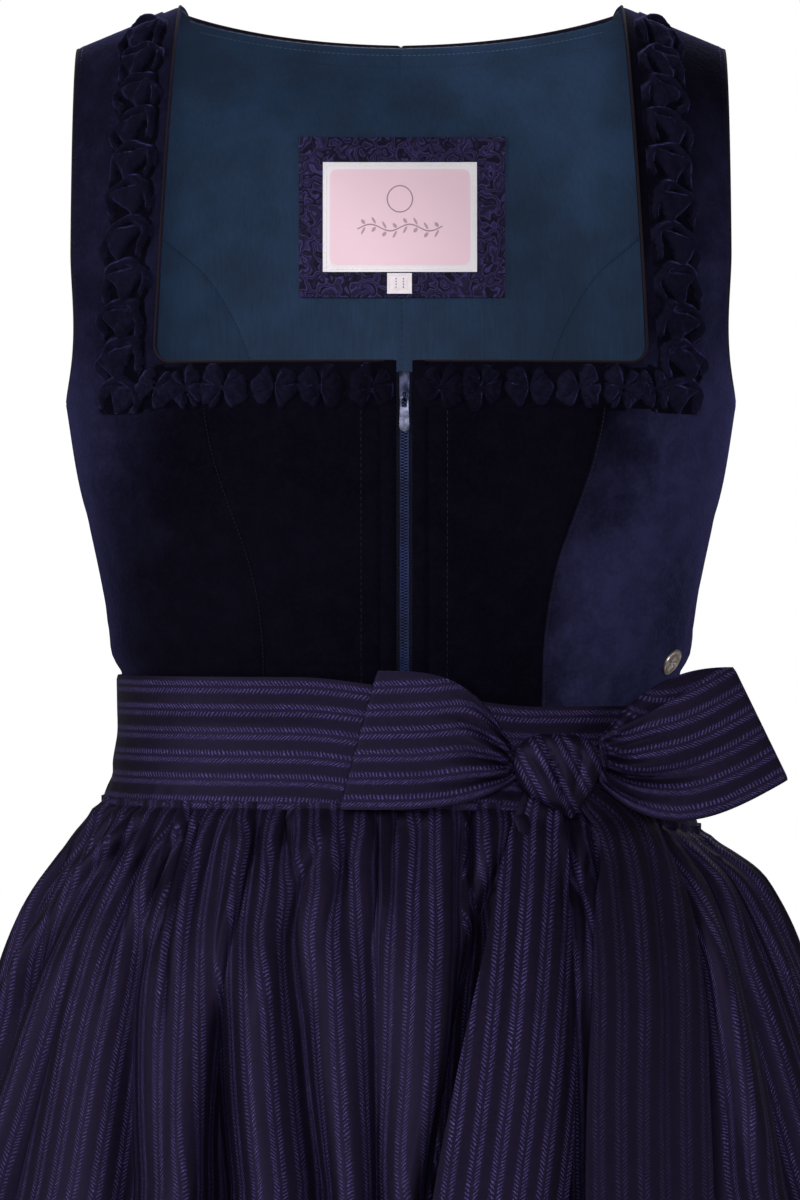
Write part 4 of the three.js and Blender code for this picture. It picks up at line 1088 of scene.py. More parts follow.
def build_lining():
    """The back's lining, which the neckline shows, with its dark seams and the facing's stitch line."""
    sewing, pale = [], []
    for name, side in SIDES:
        for kind, edges, shares in (("centre", back_centre_edges(), spread(40)),
                                    ("side", back_side_edges(), spread(22))):
            level, start, end = edges
            grid, out = bodice_grid(side, level, start, end, shares, inset=LINING_INSET, seams=(-0.3, -0.3))
            node = f"lining_{kind}_{name}"
            part = wall(grid, out, LINING_WALL, cloth_uv(grid))
            made = add_piece(f"{node}_cloth", part, [finish_of("lining_cloth")], [node])
        inset = -LINING_INSET - LINING_WALL - 0.05
        rise = np.linspace(-0.99, 0.44, 200)
        seam = seam_across(BACK_PRINCESS, rise, 0)
        sewing.append(inner_stitches(*bodice_line(side, seam, rise, inset, back=True), 2.2))
        rim_x = np.linspace(97, 0.5, 120)
        for below, rows in ((3, pale), (8.6, sewing)):
            rim = level_of(rim_x, rim_height(rim_x) - below)
            rows.append(inner_stitches(*bodice_line(side, rim_x, rim, inset, back=True), 2.4))
    low = np.linspace(-0.99, 0.3, 120)
    middle = bodice_line(1, 0.4, low, -LINING_INSET - LINING_WALL, back=True)
    sewing.append(inner_stitches(*middle, 3))
    add_piece("lining_sewing", joined(sewing), [finish_of("lining_thread")])
    add_piece("facing_sewing", joined(pale), [finish_of("facing_thread")])


def inner_stitches(line, out, pitch):
    """Stitches on the inner face of the lining."""
    return stitches(line, -out, pitch=pitch, width=0.36)


# Sheets inside the back: left, right, low and high edge, inset and wall
PATCH = {"edges": (-50.2, 51.2, -120.8, -43), "inset": 4.1, "wall": 0.9}
LABEL = {"edges": (-38.5, 37.5, -108.2, -54.8), "inset": 5.3, "wall": 0.7}
TAB = {"edges": (-6.8, 5.4, -118.9, -108.8), "inset": 5.3, "wall": 0.5}


def inside_back(x, z, inset):
    """Points on the inside of the back at a distance from the middle and a height."""
    level = level_of(x, z)
    phi = 180 - np.where(x >= 0, 1, -1) * phi_across(x, level)
    out = bodice_normal(phi, level)
    return bodice(phi, level) - out * np.asarray(inset)[..., None], out


def sewn_sheet(sheet, columns, rows, puff):
    """A sheet sewn down round its edge: its face stands away from the lining by the fourth root of
    how far a point is from the edges, with a shallow pucker at every few stitches."""
    left, right, low, high = sheet["edges"]
    u, v = np.meshgrid(np.linspace(0, 1, columns), np.linspace(0, 1, rows))
    x, z = mix(left, right, u), mix(low, high, v)
    from_edge = np.minimum(np.minimum(x - left, right - x), np.minimum(z - low, high - z))
    pucker = 0.12 * np.sin(x * 0.9) * np.sin(z * 1.1) * bump(from_edge, 3)
    raised = puff * (clamp(from_edge / 4) ** 0.5) + pucker - 0.25 * bump(from_edge - 1.6, 0.5)
    points, out = inside_back(x, z, sheet["inset"] + sheet["wall"] + raised)
    return points, out, np.stack([x - left, z - low], axis=-1)


def edge_line(sheet, inside, lift):
    """The line inside a sewn sheet's edge, all round, on its inner face."""
    left, right, low, high = sheet["edges"]
    left, right, low, high = left + inside, right - inside, low + inside, high - inside
    share = np.linspace(0, 1, 50)[1:]
    corners = ((left, low), (right, low), (right, high), (left, high), (left, low))
    x, z = (np.concatenate([mix(a[k], b[k], share) for a, b in zip(corners, corners[1:])]) for k in (0, 1))
    points, out = inside_back(x, z, sheet["inset"] + sheet["wall"] + lift)
    return points, -out


def build_labels():
    """The brocade patch, the bare woven label on it, the size tab below, and their stitches."""
    pieces = (("label_patch", PATCH, "patch_brocade", "patch", 56, 44, 0.25),
              ("label", LABEL, "label_weave", "label", 50, 38, 0.2),
              ("size_tab", TAB, "tab_weave", "tab", 24, 20, 0.1))
    for node, sheet, finish, slot, columns, rows, puff in pieces:
        points, out, uv = sewn_sheet(sheet, columns, rows, puff)
        part = wall(points, -out, sheet["wall"] * 0.8, uv)
        made = add_piece(f"{node}_sheet", part, [finish_of(finish)], [node])
    round_label = stitches(*edge_line(LABEL, 1.4, 0.2), pitch=2.4)
    add_piece("label_sewing", round_label, [finish_of("white_thread")])
    round_patch = stitches(*edge_line(PATCH, 1.8, 0.25), pitch=2.6)
    add_piece("patch_sewing", round_patch, [finish_of("lining_thread")])
    left, right, low, high = TAB["edges"]
    z = np.linspace(low + 2.5, high - 2, 3)
    bars = [stitches(*inside_bar(x, z), pitch=1.2, width=0.5) for x in (-2.4, 1.2)]
    add_piece("tab_sewing", joined(bars), [finish_of("lining_thread")])


def inside_bar(x, z):
    """A short upright line on the tab."""
    points, out = inside_back(x, z, TAB["inset"] + TAB["wall"] + 0.15)
    return points, -out


# Ruche

RUCHE_HALF = 10.8

# Height in mm under which the ruche is in its own shadow, and how far a unit's rest goes under the velvet
HOLLOW_HEIGHT = 1.3
UNDER_VELVET = 0.6
FRONT_MIDDLE_Z = NECK_Z - 1 - RUCHE_HALF

# Units of the ruche: distance of the middle along the strip, half length, half width, turn in degrees
FRONT_UNITS = {
    "left": ((13, 11, 10.4, 6), (36, 11, 10.6, -4), (56.7, 10.6, 10.8, 3), (80, 11.6, 11, 8),
             (97, 8.6, 10.4, -14), (111, 9.6, 10.8, 20)),
    "right": ((18, 11, 10.2, -8), (36, 9.6, 10.6, 10), (57.2, 11.2, 10.8, -3), (80, 11, 10.8, 6),
              (100, 10.2, 10.6, -10), (114, 8, 10.6, 12)),
}
STRAP_UNITS = {
    "left": ((-6, 8.4, 10.6, 0), (-19.2, 8.2, 10.4, 4), (-34.2, 9, 10.8, -3), (-50.6, 9.4, 10.8, 5),
             (-66.5, 9.4, 11, -4), (-83, 9.8, 11, 3), (-102, 10.6, 11.2, -6), (-121.6, 10.6, 11, 5),
             (-139.5, 10, 11, -8), (-157.5, 10.4, 11.2, 9), (-175, 9, 10.6, -12)),
    "right": ((-6, 8.4, 10.6, 3), (-20, 8.2, 10.4, -4), (-35, 9, 10.8, 5), (-51, 9.4, 10.8, -4),
              (-67.5, 9.6, 11, 4), (-86, 10.2, 11, -3), (-105, 10.6, 11.2, 6), (-123, 10.4, 11, -6),
              (-141, 10.4, 11, 7), (-158.5, 10.2, 11.2, -9), (-175, 9, 10.6, 10)),
}


def turned_into(unit_row, run, across):
    """Coordinates in a unit's own frame: its length and width as shares, after its turn."""
    middle, half_length, half_width, turn = unit_row
    c, s = math.cos(math.radians(turn)), math.sin(math.radians(turn))
    a, b = run - middle, across
    return (a * c + b * s) / half_length, (b * c - a * s) / half_width


def fan_height(a, b, number):
    """A unit seen flat: two lobes pinched in the middle. The height climbs from the pinch with the
    sine of the distance and rolls over an uneven rim; creases run out from the pinch; and a notch
    opens at both ends of the line between the two lobes."""
    angle = np.arctan2(b, np.abs(a))
    side = np.sign(a)
    uneven = 0.07 * np.sin(3 * angle + 2.3 * number + side) + 0.04 * np.sin(7 * angle + number + 2 * side)
    distance = np.sqrt(a * a + b * b) * (1 + uneven)
    rim = clamp(1 - distance**3)
    dome = 1.2 + 4.6 * np.sin(np.pi / 2 * clamp(distance * 1.35)) ** 1.3
    fan = np.abs(np.sin(2.6 * angle + 0.8 * side + 1.7 * number))
    creased = 1 - 0.5 * (1 - fan) ** 3 * clamp(distance * 2.4)
    fine = np.abs(np.sin(5.7 * angle + 2.1 * number + side)) ** 5
    creased = creased - 0.22 * fine * clamp(distance * 1.6)
    crumple = np.sin(7 * a + 5 * b + 2 * number) * np.sin(6 * b - 4 * a + number)
    crumple = crumple + 0.6 * np.sin(13 * a - 9 * b + number)
    opening = np.pi / 2 - np.abs(angle) + 0.16 * (1 - distance) + 0.12 * np.sin(2 * number + side)
    notch = smooth(0.06, 0.62, opening)
    pinch = 1 + 0.9 * bump(a, 0.1) * bump(b - 0.1 * side, 0.4)
    whole = dome * (creased + 0.08 * crumple) * rim**0.7 * (0.05 + 0.95 * notch) * pinch
    return whole - UNDER_VELVET * (distance > 1.0)


def hood_height(a, b, number):
    """A unit seen along its pleat: a horseshoe rim that stands up, a hollow under it, and a fold that
    runs down from the hollow to a point between two dark notches. Here a runs up the strap."""
    bent = b + 0.1 * np.sin(3 * a + 2.1 * number)
    wavy = 1 + 0.04 * np.sin(5 * np.arctan2(b, a) + number)
    ring = np.sqrt((bent / 0.98) ** 2 + ((a + 0.3) / 1.22) ** 2) * wavy
    rim = 5.4 * bump(ring - 0.82, 0.17) * smooth(-1.15, -0.4, a)
    rim = rim * (1 - 0.22 * np.sin(2.5 * b + 1.4 * number) ** 2)
    inside = smooth(0.95, 0.75, ring)
    lean = 0.16 * math.sin(2.3 * number)
    narrow = clamp((a + 1.02) / 1.25) * (0.74 + 0.08 * math.sin(1.7 * number))
    fold = smooth(0.16, -0.06, np.abs(bent - lean) - narrow) * smooth(0.5, 0.2, a)
    fold = fold * (3.9 + 1.2 * clamp(a + 0.6) - 0.9 * np.abs(np.sin(4 * b + 2 * a + number)) ** 3)
    crumple = 0.35 * np.sin(6 * a + 4 * b + 2 * number) * np.sin(7 * b - 3 * a + number)
    body = inside * (0.9 + fold * 0.9)
    skirt = 2.2 * smooth(1.12, 0.86, ring)
    whole = np.maximum(np.maximum(rim, body), skirt * (1 - inside)) + crumple * smooth(1.0, 0.8, ring)
    return whole * smooth(-1.28, -0.9, a) - UNDER_VELVET * (ring > 1.12)


def ruche_strip(units, height, run, across, half_floor):
    """Height of a whole strip: the highest of its units, and between them the flat strip itself,
    which is narrower and ends just under the velvet."""
    floor = mix(-0.7, 0.9, smooth(half_floor, half_floor - 1.2, np.abs(across)))
    total = floor
    for number, unit_row in enumerate(units):
        a, b = turned_into(unit_row, run, across)
        near = (np.abs(a) < 1.3) & (np.abs(b) < 1.3)
        total = np.where(near, np.maximum(total, height(a, b, number)), total)
    return total


def build_ruche():
    """Box-pleated velvet ruche along the front neckline and up both straps. Every strip is a wall on
    the bodice whose outer face has the height of its units."""
    for name, side in SIDES:
        shift = side * CLOSING_X
        inner, outer = COIL_GAP + 1.2 + shift, NECK_CORNER_X + 8
        run, across = np.meshgrid(np.linspace(inner, outer, 204), np.linspace(-1, 1, 42) * RUCHE_HALF)
        height = ruche_strip(FRONT_UNITS[name], fan_height, run, across, 10)
        edge = smooth(inner, inner + 0.8, run)
        place_ruche(f"ruche_front_{name}", side, run, FRONT_MIDDLE_Z + across, height * edge)
        run, across = np.meshgrid(np.linspace(-184, 5, 290), np.linspace(-1, 1, 40) * RUCHE_HALF)
        level = level_of(NECK_CORNER_X + RUCHE_HALF - 6, run)
        x = strap_inner(level) + 4.4 + RUCHE_HALF + across
        height = ruche_strip(STRAP_UNITS[name], hood_height, run, across, 8)
        level = np.minimum(level, 0.9999)
        place_ruche(f"ruche_strap_{name}", side, x, None, height, level)


def place_ruche(node, side, x, z, height, level=None):
    """Lays a strip on the bodice and makes it a wall down to the velvet, with painted shade in its hollows.
    """
    level = level_of(x, z) if level is None else level
    phi = side * phi_across(x, level)
    base, out = bodice(phi, level), bodice_normal(phi, level)
    relief = creases(FRONT_CREASES, base[..., 0], base[..., 2])
    top = base + out * (height + relief)[..., None]
    part = wall(top, out, height + 1.0, cloth_uv(top))
    # Painted shade: faces lower than the hollow height take the darker plain velvet
    hollow = (height[:-1, :-1] < HOLLOW_HEIGHT).ravel()
    part.finish[:len(hollow)] = hollow
    finishes = [finish_of("crushed_velvet"), finish_of("velvet")]
    made = add_piece(f"{node}_pleats", part, finishes, [node], sharp=70)


# Zip and badge

# The tape: half width, top, bottom and distance behind the bodice; the coil: height of its upper end,
# pitch of its teeth, and distance of its two cords from its middle
TAPE_HALF = 9
TAPE_TOP = -166
TAPE_LOW = -341.6
TAPE_INSET = 2.7
COIL_TOP = -179.2
TOOTH_PITCH = 1.35
CORD_AWAY = 1.75


def closing_line(low, high, offset, count=200):
    """A line down the closing, moved out from the bodice by an offset."""
    z = np.linspace(low, high, count)
    level = level_of(CLOSING_X, z)
    phi = phi_across(CLOSING_X, level)
    out = bodice_normal(np.zeros(count), level)
    return bodice(phi, level) + out * offset, out


def build_zip():
    """Tape, coil, and the slider and pull tab as the frame has them, with their edges rounded."""
    x, z = np.meshgrid(np.linspace(CLOSING_X - TAPE_HALF, CLOSING_X + TAPE_HALF, 24),
                       np.linspace(TAPE_LOW, TAPE_TOP, 90))
    level = level_of(CLOSING_X, z)
    phi = np.sign(x) * phi_across(x, level)
    out = bodice_normal(np.zeros_like(phi), level)
    grid = bodice(phi, level) - out * TAPE_INSET
    part = wall(grid, out, 1, cloth_uv(grid))
    made = add_piece("zip_tape_cloth", part, [finish_of("zip_tape_weave")], ["zip_tape"])
    line, ups = closing_line(-341, COIL_TOP, -TAPE_INSET + 0.55)
    places, tangents, side, up = along_line(line, ups, TOOTH_PITCH)
    tooth = bead(2.1, 1.0, 1.5, sides=6)
    rows = []
    for lean, half_pitch in ((-1, 0), (1, 0.5)):
        across = unit(side + lean * 0.16 * tangents)
        at = places + side * lean * 0.85 + tangents * half_pitch * TOOTH_PITCH
        rows.append(copies(tooth, at, across, tangents, up))
    beside = unit(np.cross(ups, np.gradient(line, axis=0)))
    rows += [tube(line + beside * lean * CORD_AWAY - ups * 0.2, ups, 0.42) for lean in (-1, 1)]
    add_piece("zip_coil", joined(rows), [finish_of("zip_coil")])
    rounded_node("zip_slider", "zip_slider_metal", 0.3, finish_of("zip_slider_nickel"), BODY)
    rounded_node("zip_pull", "zip_pull_metal", 0.26, finish_of("zip_nickel"), PULL_BODY)


def rounded_node(node, name, width, finish, body):
    """A copy of a node with its corners merged and its edges bevelled."""
    made = frame["nodes"][node].copy()
    made.data = made.data.copy()
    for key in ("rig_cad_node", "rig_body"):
        del made[key]
    made.name = name
    made.parent = None
    bpy.context.scene.collection.objects.link(made)
    made.data.materials.clear()
    made.data.materials.append(finish)
    weld = made.modifiers.new("weld", "WELD")
    weld.merge_threshold = 0.00001
    bevel = made.modifiers.new("bevel", "BEVEL")
    bevel.width = width * MM
    bevel.segments = 3
    bevel.limit_method = "ANGLE"
    bevel.angle_limit = math.radians(35)
    bevel.harden_normals = False
    shown = made.evaluated_get(bpy.context.evaluated_depsgraph_get())
    baked = bpy.data.meshes.new_from_object(shown)
    made.modifiers.clear()
    made.data = baked
    baked.polygons.foreach_set("use_smooth", np.ones(len(baked.polygons), bool))
    baked.set_sharp_from_angle(angle=math.radians(40))
    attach(made, body)
    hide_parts(node)


# The badge's middle and radius, in mm
BADGE_X = 125.2
BADGE_Z = -297.6
BADGE_RADIUS = 6.5


def build_badge():
    """A round badge that faces out of the cloth: a profile turned about its middle, with a raised
    rim, a beaded ring and a rosette whose eight petals are the cosine of eight times the angle."""
    level = level_of(BADGE_X, np.array([BADGE_Z]))
    phi = phi_across(np.array([BADGE_X]), level)
    centre, out = bodice(phi, level)[0], bodice_normal(phi, level)[0]
    side = unit(np.cross(np.array([0, 0, 1.0]), out))
    up = np.cross(out, side)
    radius = np.concatenate([np.linspace(0.02, 0.98, 40), [1.0, 1.0, 0.9]])[:, None]
    turn = np.linspace(0, 2 * np.pi, 97)[None, :]
    petals = 0.5 + 0.5 * np.cos(8 * turn)
    beads = bump(radius - 0.74, 0.03) * (0.5 + 0.5 * np.cos(40 * turn))
    face = 0.55 + 0.42 * bump(radius - 0.9, 0.07) + 0.2 * beads
    face = face + 0.42 * petals * bump(radius - 0.38, 0.2) + 0.45 * bump(radius, 0.13)
    face = face + 0.12 * (1 - petals) * bump(radius - 0.55, 0.08)
    face[-3:] = np.array([0.35, 0, -0.3])[:, None]
    x, y = radius * np.cos(turn) * BADGE_RADIUS, radius * np.sin(turn) * BADGE_RADIUS
    points = centre + x[..., None] * side + y[..., None] * up + (face[..., None] + 0.1) * out
    part = wall(points, np.broadcast_to(out, points.shape), 0.3, grid_of(x, y), ring=True)
    add_piece("badge_metal", part, [finish_of("badge_silver")], ["badge"], sharp=60)


# Apron, skirt and band

def fold_width(z):
    """Share of a fold's stated width at a height."""
    return mix(0.75, 1.25, smooth(BAND_LOW_Z, HEM_Z, z))


def fold_growth(z):
    """Share of a fold's stated depth at a height."""
    return smooth(-360, -640, z) ** 0.75


def valleys(folds, columns, z, reach):
    """Depth and sideways lean of the large folds on lines of cloth that are named by their angle near
    the hem: for each fold its depth times a bell of the angle from its valley."""
    depth = np.zeros(np.broadcast(columns, z).shape)
    lean = np.zeros_like(depth)
    for _, low, width, deep, leaning in folds:
        away = (columns - low + 180) % 360 - 180
        shape = np.exp(-np.abs(away / (width * fold_width(z))) ** 1.7) * fold_growth(z)
        depth += mix(FOLD_DEPTH, HEM_FOLD_DEPTH, smooth(-860, -950, z)) * deep * reach * shape
        lean += leaning * shape
    return depth, lean


def band_angle(folds, edge, columns, z):
    """The angle at a height of the line of cloth whose angle near the hem is given: it runs straight
    from its place at the band to its place near the hem."""
    ends = [(-edge, -edge), (edge, edge)]
    top = read_table([(low, top) for top, low, *_ in folds] + ends, columns)[..., 0]
    return mix(top, columns, clamp((BAND_LOW_Z - z) / (BAND_LOW_Z - FOLD_LOW_Z)))


def gather_phase(phi, count, edge):
    """Number of gathers from the edge, unevenly spaced by three slow waves."""
    waves = ((0.5, 8.1, 0), (0.3, 19, 40), (0.16, 37, 0))
    uneven = sum(size * np.sin(np.radians(often * phi + start)) for size, often, start in waves)
    return count * (phi + edge) / (2 * edge) + uneven


def gathers(phase, below, depth):
    """Small gathers under the band: a trough between ridges as a power of a raised cosine, whose
    depth and length change from one to the next, fading downwards, and which leans over to one side
    or the other as it goes down."""
    fade_length = 66 + 40 * np.sin(1.9 * phase) + 22 * np.sin(0.7 * phase + 1)
    fade = 1 - smooth(0.1, 1, below / fade_length)
    uneven = 0.85 + 0.4 * np.sin(2.6 * phase + 0.6) + 0.2 * np.sin(4.1 * phase)
    leaning = phase + 0.16 * np.sin(1.3 * phase) * smooth(4, 46, below)
    trough = (0.5 - 0.5 * np.cos(2 * np.pi * leaning)) ** 1.9
    return depth * uneven * trough * fade * (0.4 + 0.6 * smooth(-2, 16, below))


def beside_band(z, phi):
    """Heights under the band follow its drop and come level 40 mm further down."""
    return z - band_drop(phi) * (1 - smooth(BAND_LOW_Z, -404, z))


# Creases of the apron: angle, height, direction, half length, half width, depth
APRON_CREASES = (
    (-62, -436, 82, 26, 2.2, -2.2), (-50, -452, 97, 30, 2.4, 1.8), (-38, -430, 84, 34, 2.0, -2.4),
    (-22, -440, 96, 26, 1.8, 1.6), (-12, -470, 88, 40, 1.8, -1.8), (3, -500, 92, 40, 1.6, 1.5),
    (12, -436, 86, 30, 1.6, -1.8), (21, -490, 94, 44, 2, 1.6), (32, -450, 84, 30, 1.8, -2),
    (44, -480, 94, 40, 2.2, 2), (58, -440, 84, 30, 2.2, -2), (70, -500, 92, 50, 2.4, 2),
    (-72, -520, 90, 60, 2.4, 2.4), (-45, -590, 92, 70, 2.2, -2.2), (-28, -640, 88, 80, 2.2, 2),
    (8, -680, 91, 90, 1.8, 2), (26, -620, 88, 70, 2, -2), (48, -700, 92, 90, 2.4, 2.2),
    (62, -620, 90, 70, 2.4, -2), (-60, -760, 90, 90, 2.4, 2), (-8, -820, 90, 80, 2, -2),
    (80, -640, 92, 80, 2.4, -2),
)


# Folded pleats under the band: angle at the band, 38 mm lower and at the low end, height of that
# end, depth, and the side on which the fold drops sharply
APRON_PLEATS = (
    (-88, -90, -91, -430, 3.5, 1), (-76, -80, -82, -450, 4, 1), (-66, -73, -76, -420, 3, 1),
    (-53.4, -64, -71.5, -480, 6, 1), (-46, -52, -54, -470, 3, 1), (-41.9, -42.2, -38.5, -424, 5, 1),
    (-34, -33, -31, -440, 3, 1), (-26.5, -25.3, -23.5, -600, 7.5, 1), (-19, -21, -20, -420, 3.5, 1),
    (-10.9, -17, -17, -490, 6.5, 1), (-8.1, -10.8, -11.5, -430, 5, 1), (-3.1, -2.6, -2.4, -428, 4.5, 1),
    (6, 4.8, 3.8, -540, 5, 1), (13, 11, 9, -440, 4, -1), (22, 19, 17, -450, 4, -1),
    (33, 29, 26, -470, 4, -1), (44, 41, 38, -450, 4, -1), (54.6, 50.5, 44.3, -560, 6, -1),
    (63, 60, 58, -440, 4, -1), (71.3, 69.1, 66, -480, 5, -1), (80, 79, 78, -440, 4, -1),
    (90, 90, 91, -460, 4, -1),
)
# Half widths in degrees of a pleat's soft and sharp side, how tall it is for its stated depth, and how
# much wider the sharp side gets for each degree that the pleat leans over
PLEAT_SOFT = 3.0
PLEAT_SHARP = 1.3
PLEAT_TALL = 1.4
PLEAT_SWEEP = 0.14


def pleats(phi, z):
    """Height and sideways lean of the folded pleats: each climbs softly towards its edge by a wide
    bell and drops behind it by a narrow one, and fades at its low end."""
    total = np.zeros(np.broadcast(phi, z).shape)
    lean = np.zeros_like(total)
    for at_band, lower, at_end, low, depth, side in APRON_PLEATS:
        middle = read_table(((BAND_LOW_Z, at_band), (-402, lower), (low, at_end)), z)[..., 0]
        away = (phi - middle) * side
        sharp = PLEAT_SHARP + PLEAT_SWEEP * abs(at_band - lower)
        profile = bump(away, np.where(away < 0, PLEAT_SOFT, sharp))
        down = (BAND_LOW_Z - z) / (BAND_LOW_Z - low)
        fade = (0.35 + 0.65 * smooth(-362, -380, z)) * (1 - smooth(0.5, 1.05, down))
        total += PLEAT_TALL * depth * profile * fade
        lean += side * 0.4 * depth * profile * fade
    return total, lean


def skirted(table, phi, z, moved, lean):
    """A point of a skirt's surface moved out along the level normal and sideways along the section."""
    base = table_point(table, phi, z)
    out = normal_of(lambda a, b: table_point(table, a, b), phi, z, 0.5, 0.5)
    out[..., 2] = 0
    out = unit(out)
    side = np.stack([-out[..., 1], out[..., 0], np.zeros(out.shape[:-1])], axis=-1)
    return base + out * moved[..., None] + side * lean[..., None]


def grid_normal(grid):
    """Unit normal of a grid of points, by its own differences."""
    return unit(np.cross(np.gradient(grid, axis=1), np.gradient(grid, axis=0)))


def under_tails(points):
    """One where a place on the front of the apron lies under one of the bow's tails, else zero, with
    8 mm between them."""
    x, y, z = np.moveaxis(points, -1, 0)
    total = np.zeros(x.shape)
    for _, edges in TAILS.values():
        both = read_table(edges, z)
        covered = smooth(-8, 0, x - both[..., 0]) * smooth(-8, 0, both[..., 1] - x) * (y < 0)
        total = np.maximum(total, covered * smooth(TAIL_END_Z - 10, TAIL_END_Z, z))
    return total


def apron_grid():
    """The apron's outer surface and its cloth coordinates. Columns are lines of cloth; the surface
    goes in by the large folds and the gathers, and out by the pleats. On every ridge between two
    large folds the cloth keeps its own width, and what there is too much of lies hidden in the
    valleys."""
    u = np.linspace(-1, 1, 520)[None, :]
    columns = APRON_EDGE_PHI * (0.78 * u + 0.22 * u**3)
    share = np.linspace(0, 1, 80) ** 1.7
    z = mix(APRON_TOP_Z, APRON_HEM_Z, share)[:, None]
    phi = band_angle(APRON_VALLEYS, APRON_EDGE_PHI, columns, z)
    depth, lean = valleys(APRON_VALLEYS, columns, z, 1.0)
    at_band = band_angle(APRON_VALLEYS, APRON_EDGE_PHI, columns, BAND_LOW_Z)
    phase = gather_phase(at_band, APRON_GATHERS, APRON_EDGE_PHI)
    small = gathers(phase, BAND_LOW_Z - z, 7.5)
    folded, folded_lean = pleats(phi, z)
    hand = creases(APRON_CREASES, phi, z) * smooth(-380, -430, z) + folded
    flat = table_point(APRON, phi, z)
    free = 1 - under_tails(flat)
    hand = np.minimum(hand, 0) + np.maximum(hand, 0) * free - TAIL_ROOM * (1 - free) * smooth(-372, -400, z)
    edge = read_table(TAILS["left"][1], z)[..., 0]
    in_front = flat[..., 1] < 0
    # The trough beside the left tail, and the hollow beside the knot
    hand = hand - 9 * bump(flat[..., 0] - edge + 3, 5) * smooth(-380, -420, z) * in_front
    hand = hand - 12 * bump(flat[..., 0] - 79, 9) * bump(z + 386, 24) * in_front
    folded_lean = folded_lean * free
    hem = -0.5 * bump(z - APRON_HEM_Z - 24, 1.2)
    tucked = 2.7 * smooth(BAND_LOW_Z - 4.5, BAND_LOW_Z - 0.5, z)
    moved = hand + hem - depth - small - tucked
    points = skirted(APRON, phi, z, moved, lean + folded_lean)
    points[..., 2] = beside_band(z, phi)
    run = lengths_along(points, 1)
    reference = run[np.argmin(np.abs(z[:, 0] + CLOTH_WIDTH_Z))]
    lows = np.array([low for _, low, *_ in APRON_VALLEYS])
    edges = np.concatenate([[-APRON_EDGE_PHI], lows, [APRON_EDGE_PHI]])
    owner = np.searchsorted(lows, columns[0])
    crest_column = np.searchsorted(columns[0], (edges[:-1] + edges[1:]) / 2)[owner]
    across = reference[crest_column] + run - run[:, crest_column]
    across = mix(reference, across, RIDGE_SHARE)
    return points, np.stack([across, lengths_along(points, 0)], axis=-1), reference[-1]


def skirt_grid(phi, rows):
    """The skirt's outer surface: under the apron it lies plain inside the apron's deepest fold, and
    towards the back its own folds begin."""
    phi = phi[None, :]
    z = mix(WAIST_SEAM_Z - 0.3, HEM_Z, np.linspace(0, 1, rows) ** 1.3)[:, None]
    around = (phi + 180) % 360 - 180
    free = smooth(70, 96, np.abs(around))
    front_depth, _ = valleys(APRON_VALLEYS, around, z, free)
    back_depth, back_lean = valleys(back_folds(), around, z, 1.0)
    behind = np.abs(around) - APRON_EDGE_PHI
    phase = gather_phase(behind + 1.3 * np.sign(around), 30, 82)
    small = gathers(phase, BAND_LOW_Z - z, 3.4)
    tuck = mix(SKIRT_TUCK, HEM_TUCK, smooth(-880, -955, z)) * (1 - free) * smooth(-378, -470, z)
    fixed = np.where(z < -372, 1, smooth(-352, -372, z)) * free
    moved = -(front_depth + back_depth + tuck + small * fixed)
    return skirted(SKIRT, around, z, moved, back_lean * free)


def back_folds():
    """Large folds of the skirt behind, in the apron's table form, unevenly set by slow waves."""
    rows = []
    for k in range(BACK_FOLDS):
        middle = APRON_EDGE_PHI + (k + 0.5) * (360 - 2 * APRON_EDGE_PHI) / BACK_FOLDS
        low = middle + 2.2 * math.sin(1.3 * k + 1)
        rows.append((low, low, 3.2 + 0.5 * math.sin(2.7 * k), 13 + 3 * math.sin(1.9 * k),
                     3 * math.sin(2.2 * k)))
    return rows


def build_apron():
    """The gathered apron with its hem stitched all round."""
    points, uv, width = apron_grid()
    out = grid_normal(points)
    part = wall(points, out, SATIN_WALL, uv)
    # The apron takes the satin with painted shade
    made = add_piece("apron_cloth", part, [finish_of("apron_satin_gathered")], ["apron"])
    sewing = []
    row = int(len(points) * 0.97)
    sewing.append(stitches(points[row], out[row], pitch=3))
    for column in (4, -5):
        sewing.append(stitches(points[2:-2, column], out[2:-2, column], pitch=3))
    add_piece("apron_sewing", joined(sewing), [finish_of("satin_thread")])


def build_skirt():
    """Four gathered skirt panels with a stitched hem."""
    sewing = []
    for name, side in SIDES:
        for kind, start, end, columns in (("front", 0.03, 90, 60), ("back", 90.1, 179.97, 150)):
            points = skirt_grid(side * np.linspace(start, end, columns), 64)
            out = grid_normal(points)
            out = out * np.sign(np.sum(out * points * np.array([1, 1, 0]), axis=-1, keepdims=True))
            node = f"skirt_{kind}_{name}"
            part = wall(points, out, SKIRT_WALL, cloth_uv(points))
            made = add_piece(f"{node}_cloth", part, [finish_of("skirt_cloth")], [node])
            row = int(len(points) * 0.965)
            sewing.append(stitches(points[row], out[row], pitch=3))
    add_piece("skirt_sewing", joined(sewing), [finish_of("velvet_thread")])


# Creases of the band: angle, height, direction, half length, half width, depth
BAND_CREASES = (
    (-70, -330, 4, 20, 5, -0.8), (-52, -318, -6, 16, 4, 0.7), (-40, -344, 8, 18, 4, -0.9),
    (-25, -326, -4, 16, 4, -0.7), (-85, -350, 5, 20, 4, -0.8), (20, -352, -6, 12, 3.5, -0.9),
    (60, -318, 8, 16, 4, -0.8), (80, -345, -6, 20, 4, -0.9), (110, -325, 5, 24, 4, -0.8),
    (150, -340, -4, 26, 5, -0.9), (178, -322, 3, 26, 4, -0.7), (-150, -338, 6, 26, 5, -0.9),
    (-120, -322, -5, 24, 4, -0.8), (-105, -352, 4, 20, 4, -0.8),
)


